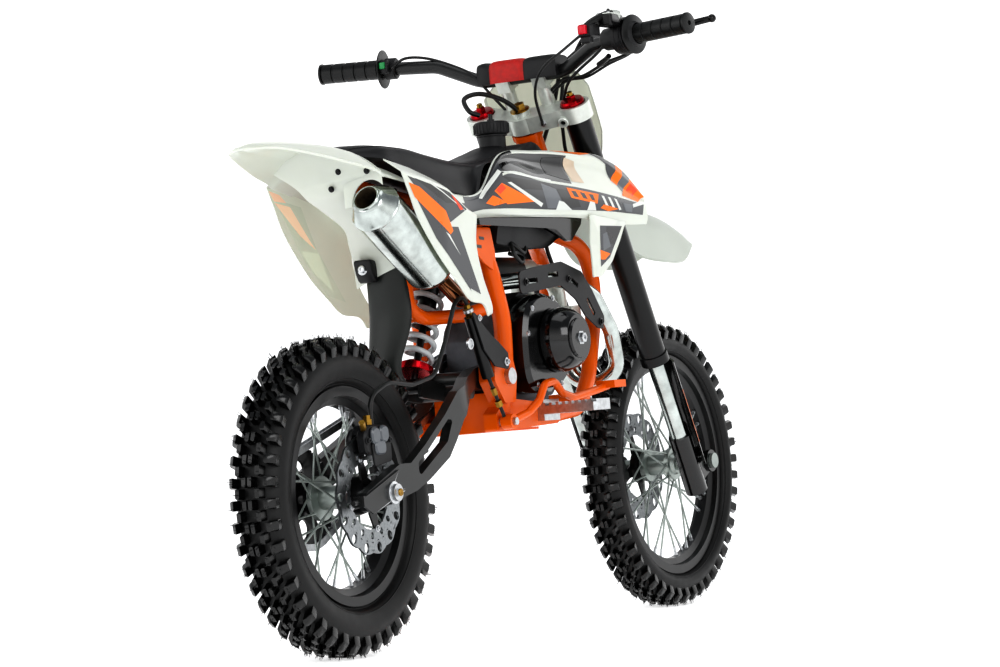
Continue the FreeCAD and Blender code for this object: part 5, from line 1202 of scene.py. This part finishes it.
controlParts = [
    lathe(controls["drum"], drumStart, gripWay, "grainedBlackPlastic", 64, closed=True),
    sweep(smoothCurve(controls["perch"], 12) + middle, 13, "blackAnodised", 20, flat=0.9),
    sweep(leverPath, leverSize, "blackAnodised", 14, flat=1.3),
    lathe(controls["leverBall"], leverPath[-1], toLeft, "blackAnodised", 20),
    sweep(smoothCurve(controls["sleeve"], 20), np.linspace(7.5, 4.4, 20), "softRubber", 16),
    sweep(controls["ferrule"], 8.4, "blastedAlloy", 16),
    *moved(blockPlace, *(slab(*row, 2) for row in blockRows)),
    *moved(boxPlace, *(box(*row) for row in boxRows)),
    *boltHeads([blockPlace + spot for spot in ((-18, -9, 10), (-18, 9, 10), (20, -8, 10), (20, 8, 10))], upward,
               2.0, "zincPlate", 16),
    lathe(controls["collar"], leftStart, leftWay, "grainedBlackPlastic", 40, closed=True),
    *moved(leftStart, *(box(*row) for row in leftBoxes)),
]
buildPiece("bar_controls_set", controlParts, "bar_controls", smoothAngle=40)

# ---- the wiring that follows the bar, and the cable that arches from the throttle to the frame

wires = [
    ([(-66, 214, 36), (-48, 196, 52), (-30, 160, 48), (-14, 110, 26), (-13, 84, 8), (0, 66, -20), (20, 40, -60)],
     2.4),
    ([(-26, -198, 78), (-66, -178, 62), (-112, -140, 22), (-118, -100, -6), (-84, -66, -40), (-30, -46, -86)], 2.4),
    ([(-50, -200, 44), (-34, -160, 18), (-18, -112, -6), (-4, -84, -24), (14, -60, -60)], 2.6),
    ([(-8, -214, 20), (0, -190, 12), (-4, -158, 4), (0, -112, -12), (-2, -76, -14), (12, -40, -30)], 2.6),
    ([(2, -220, 28), (8, -196, 14), (4, -160, 2), (4, -118, -14), (4, -80, -16), (16, -40, -34)], 2.2),
    ([(-24, -176, 12), (-14, -164, 8), (-6, -146, 2)], 4.4),
]
buildPiece("bar_wiring", [sweep(smoothCurve(points, 60) + middle, radius, "softRubber", 10, (1, 0, 0.3))
                          for points, radius in wires], "bar_hoses", replaces=False)

# ---- fork tops: pinch bosses, red caps, brass adjusters, bolts, the stem nut and the guards' film

forkTop = {
    "boss": [(-4, 0), (-4, 9), (4, 9), (5.4, 7.6), (5.4, 4.4), (1, 4.4), (1, 0)],
    "cap": [(709, 0), (709, 20.5), (716, 20.5), (719.5, 18), (720, 12), (720, 0)],
    "nut": [(719, 0), (719, 8), (726, 8), (727, 7), (727, 0)],
    "adjuster": [(726, 0), (726, 5), (732, 5), (733, 4), (733, 0)],
    # film wrapped on each fork guard: an arc round the leg that swells and narrows up its length
    "film": {"radius": 30.35, "low": 62, "high": 165, "from": 73, "least": 6, "swell": 34},
}
forkParts = []
# a black disc of film sits in each pinch boss's bolt hole as painted shade
for side in (-74, 74):
    forkParts += turned((-3, side, 692), (-1, -0.25, -0.1), (forkTop["boss"], "blastedAlloy", 28),
                        (barrel(1.4, 1.8, 4.2), "inkBlackFilm", 20))
for side in (-86, 86):
    forkParts += turned((24, side, 0), upward, (forkTop["cap"], "redAnodised", 40),
                        (forkTop["nut"], "redAnodised", 6), (forkTop["adjuster"], "turnedBrass", 20))
forkParts += boltHeads([(-16, 44, 699), (-16, -44, 699)], rearward, 4.0)
forkParts += boltHeads([(32, 34, 781), (56, 34, 781), (32, -34, 781), (56, -34, 781)], upward, 4.0)
forkParts += boltHeads([(0, 0, 722)], upward, 11.0, "turnedBrass")
film = forkTop["film"]
share = shares(24)
turn = np.radians(film["from"] - (film["least"] + film["swell"] * np.sin(np.pi * share ** 0.7)) * shares(12, True))
wrapFilm = sheet(onFork(grid(24 + film["radius"] * np.cos(turn), -86 - film["radius"] * np.sin(turn),
                             film["low"] + (film["high"] - film["low"]) * share)), "orangeFilm", toRight)
buildPiece("fork_top_fittings", moved(onFork, *forkParts) + [wrapFilm, *flipped(wrapFilm)], "fork_uppers",
           replaces=False)
print("controls built")

# ---- small fittings of the chassis: axle nuts, hose unions, spring seat, bolts, breather hose

fitting = {
    "axleCollar": [(103, 0), (103, 17), (105.4, 17), (106, 16), (106, 0)],
    "axleNut": [(105, 0), (105, 12), (110, 12), (111, 11), (111, 7), (114, 7), (114.5, 6), (114.5, 0)],
    "axleTip": [(110, 0), (110, 6), (116, 5.8), (117, 5), (117, 0)],
    "springSeat": [(22, 6.2), (22, 27.6), (24, 28.4), (33, 28.4), (36, 24), (40, 18), (40, 6.2)],
    "roundCap": [(0, 0), (0, 9), (3, 9), (3.6, 8.4), (3.6, 6), (2.4, 5.6), (2.4, 0)],
    "bolts": [((590, -108, 561), 4.2, "blackAnodised"), ((448, -108, 556), 4.2, "blackAnodised"),
              ((690, -108, 490), 4.2, "blackAnodised"), ((364, -108, 430), 4.6, "zincPlate"),
              ((290, -107.9, 500), 3.6, "zincPlate")],
    # points, radius, steps and sides: two carburettor hoses and the tank's breather
    "hoses": [([(470, -60, 640), (448, -84, 622), (440, -96, 600), (456, -98, 588), (478, -88, 596), (486, -60, 606)],
               3.4, 40, 12),
              ([(500, -50, 640), (496, -82, 618), (474, -94, 604), (452, -90, 616), (440, -70, 636)], 3.0, 40, 12),
              ([(540, 4, 838), (528, 16, 846), (540, 30, 868), (588, 26, 878), (640, 10, 866), (672, -4, 838),
                (676, -10, 800)], 4.0, 70, 14)],
    # outline, ease, from and to across the bike, paint and bevel: tray, gusset, and black film as painted shade where
    # its two slots are
    "plates": [([(306, 656), (644, 661), (640, 650), (604, 622), (588, 622), (556, 640), (520, 642), (306, 645)],
                3, -113, -107, "glossBlackPlastic", 1),
               ([(329, 644), (384, 645), (394, 606), (394, 572), (356, 588), (323, 611)],
                4, -87, -83, "powderCoatOrange", 1),
               ([(331, 617), (333, 612), (351, 611), (351, 616)], 1, -87.6, -86, "inkBlackFilm", 0.2),
               ([(345, 630), (347, 625), (361, 624), (361, 629)], 1, -87.6, -86, "inkBlackFilm", 0.2)],
}
fittings = []
for way in (toRight, toLeft):
    fittings += turned(rearAxle, way, (fitting["axleCollar"], "zincPlate", 40), (fitting["axleNut"], "zincPlate", 6),
                       (fitting["axleTip"], "turnedBrass", 24))
for place, radius, paint in fitting["bolts"]:
    fittings += boltHeads([place], toRight, radius, paint)
fittings += turned((287, -93, 503), (-38, 2, 95),
                   ([(0, 0), (0, 7), (7, 7), (8, 5), (8, 0)], "turnedBrass", 6),
                   ([(8, 0), (8, 8.5), (13, 8.5), (14, 7), (14, 0)], "zincPlate", 24),
                   ([(14, 0), (14, 5.5), (20, 5.5), (21, 4), (21, 0)], "turnedBrass", 6))
fittings += turned((353, -95.7, 362), (-0.53, 0.01, 0.85), (barrel(0, 10, 6.2), "turnedBrass", 6))
fittings += turned((342, -95.5, 380), (-0.53, 0.01, 0.85), (barrel(0, 12, 5.0), "turnedBrass", 6))
fittings.append(lathe(fitting["springSeat"], coil["low"], coilWay, "redAnodised", 56, closed=True))
fittings += [sweep(smoothCurve(points, steps), radius, "softRubber", sides, (0, 1, 0.2))
             for points, radius, steps, sides in fitting["hoses"]]
fittings += [slab(*row) for row in fitting["plates"]]
fittings += turned((258, -104, 460), toRight, (fitting["roundCap"], "zincPlate", 32))
buildPiece("chassis_fittings", fittings, "pivot_pins", replaces=False)

# ---- rear caliper: cast halves round the disc, three round bosses, a carrier, unions and pins

caliper = [
    # outline, ease, from and to across the bike, paint and bevel
    ([(-30, 302), (38, 300), (42, 330), (30, 345), (-20, 346), (-34, 330)], 8, -81, -64, "grainedBlackPlastic", 3),
    ([(-26, 306), (34, 304), (38, 330), (26, 342), (-16, 342), (-30, 328)], 8, -52, -42, "grainedBlackPlastic", 3),
    ([(-22, 330), (30, 328), (26, 345), (-16, 346)], 6, -66, -50, "grainedBlackPlastic", 2),
    ([(-20, 316), (-20, 342), (4, 342), (4, 316)], 12, -87, -80, "slateFilm", 2.5),
    ([(4, 318), (4, 344), (28, 344), (28, 318)], 12, -87, -80, "slateFilm", 2.5),
    ([(-12, 300), (-12, 322), (18, 322), (18, 300)], 10, -87, -80, "slateFilm", 2.5),
    ([(-14, 282), (-18, 318), (36, 318), (36, 290)], 5, -83.7, -80, "grainedBlackPlastic", 0.8)]
caliperParts = [
    *(slab(*row) for row in caliper),
    lathe([(0, 0), (0, 8), (10, 8), (10, 6), (16, 6), (16, 0)], (-6, -70, 344), upward, "turnedBrass", 6),
    lathe(barrel(0, 18, 5), (-24, -74, 338), (-0.7, -0.3, 0.7), "turnedBrass", 6),
    *boltHeads([(-26, -81, 322), (34, -81, 322)], toRight, 4.2, "grainedBlackPlastic")]
buildPiece("caliper_rear_cast", caliperParts, "caliper_rear", smoothAngle=40)

# ---- mud flap: a soft rubber sheet, bowed back at its middle and cut away under the silencer

flap = {
    # height, x, left edge and right edge, from the top down
    "line": [(594, 206, 40, -28), (574, 206, 42, -29), (546, 206, 42, -31), (520, 206, 42, -33), (494, 204, 43, -30),
             (468, 200, 44, -22), (446, 196, 45, -15), (426, 195, 44, -13), (410, 198, 41, -18), (402, 202, 37, -24)],
    "bow": 7.0, "lip": 3, "wall": (3.5, 0, 0)}
height, depth, left, right = smoothCurve(flap["line"], 44).T[..., None]
share = shares(25, True)
x = depth - flap["bow"] * (1 - (2 * share - 1) ** 2) + flap["lip"] * np.abs(2 * share - 1) ** 8
flapSkin = grid(x, left + (right - left) * share, height)
buildPiece("mud_flap_sheet", [
    shell(flapSkin, flapSkin + flap["wall"], "flapRubber"),
    slab([(203, 506), (241, 506), (241, 514), (203, 514)], 1, -9, 9, "flapRubber", 0.6),
    slab([(176, 604), (204, 600), (206, 572), (190, 566), (180, 580)], 6, 14, 44, "grainedBlackPlastic", 2),
    *boltHeads([(181, 30, 588)], (-1, 0, 0.2), 6, "zincPlate", 20)], "mud_flap", smoothAngle=50)

# ---- clutch side: a bevelled case and a turned bell with its centre nut

clutch = {
    "case": [(441, 400), (439, 470), (456, 520), (500, 542), (570, 528), (600, 478), (590, 412), (540, 380),
             (470, 378)],
    "bolts": [(452, 474), (470, 514), (540, 530), (592, 476), (470, 392), (548, 392)],
    "bell": [(104.2, 0), (104.2, 50), (106, 52), (122, 52), (124, 51.4), (138, 47), (147, 40), (149, 38), (149, 33),
             (151, 32.6), (153, 31.5), (153, 0)],
    "nut": [(152, 0), (152, 12), (153.6, 12), (154, 9), (159, 8.6), (160, 7.4), (160, 4), (157.6, 3.4), (157.6, 0)],
}
buildPiece("clutch_case_cover", [slab(clutch["case"], 26, -103.5, -56.2, "glossBlackPlastic", 7, steps=8),
                                 *boltHeads([(x, -102.6, z) for x, z in clutch["bolts"]], toRight, 3.2)],
           "clutch_case", smoothAngle=40)
buildPiece("clutch_bell", turned((534, 0, 462), toRight, (clutch["bell"], "glossBlackPlastic", 96),
                                 (clutch["nut"], "zincPlate", 6)), "clutch_drum", smoothAngle=40)
print("fittings built")

# ---- carried-over nodes, each shown by a merged copy so that its edges shade cleanly

nodeFinish = {
    "frame": "powderCoatOrange", "subframe": "powderCoatOrange", "brake_pedal": "powderCoatOrange",
    "swingarm": "satinBlackPaint", "side_stand": "satinBlackPaint", "handlebar": "satinBlackPaint",
    "pivot_pins": "zincPlate", "axle_rear": "zincPlate", "axle_front": "castLegAlloy", "chain": "zincPlate",
    "footpegs": "zincPlate", "sprocket_rear": "blackAnodised", "hub_rear": "castLegAlloy",
    "hub_front": "castLegAlloy", "shock": "blackAnodised", "engine_case": "sandCastAlloy",
    "cylinder": "blastedAlloy", "carburettor": "blastedAlloy", "air_filter": "softRubber",
    "heat_shield": "grainedBlackPlastic", "heel_guard": "grainedBlackPlastic", "fork_guards": "glossBlackPlastic",
    "rear_master_cylinder": "blackAnodised", "caliper_front": "blackAnodised", "brake_hose_rear": "softRubber",
    "bar_hoses": "softRubber", "lower_clamp": "blastedAlloy", "upper_clamp": "blastedAlloy",
    "fork_uppers": "blackAnodised", "fork_stanchions": "polishedAlloy", "fork_lugs": "glossBlackPlastic",
    "rim_rear": "glossBlackPaint", "rim_front": "glossBlackPaint",
}
axleReach = 0.017


def blackenAdjusters(mesh):
    # black for all of the axle's mesh whose distance from the axle line is past its reach
    mesh.materials.append(paints["satinBlackPaint"])
    places = np.empty(len(mesh.polygons) * 3)
    mesh.polygons.foreach_get("center", places)
    lean = math.radians(stance["lean"])
    gap = places.reshape(-1, 3) - parked([rearAxle])[0]
    up = gap[:, 2] * math.cos(lean) + gap[:, 1] * math.sin(lean)
    mesh.polygons.foreach_set("material_index", (np.hypot(gap[:, 0], up) > axleReach).astype(np.int32))


def cleanCopy(node, paint):
    # the node's own triangles with shared corners joined, smooth below the given edge angle
    mesh = nodes[node].data.copy()
    mesh.name = node + "_skin"
    mesh.materials.clear()
    piece = bpy.data.objects.new(node + "_skin", mesh)
    bpy.context.scene.collection.objects.link(piece)
    if mesh.has_custom_normals:
        bpy.context.view_layer.objects.active = piece
        with bpy.context.temp_override(object=piece, active_object=piece):
            bpy.ops.mesh.customdata_custom_splitnormals_clear()
    mergeAndShade(mesh, 1e-5, 32)
    mesh.materials.append(paints[paint])
    if node == "axle_rear":
        blackenAdjusters(mesh)
    dress(piece, node, True)


for node, paint in nodeFinish.items():
    cleanCopy(node, paint)
print("carried-over nodes dressed:", len(nodeFinish))
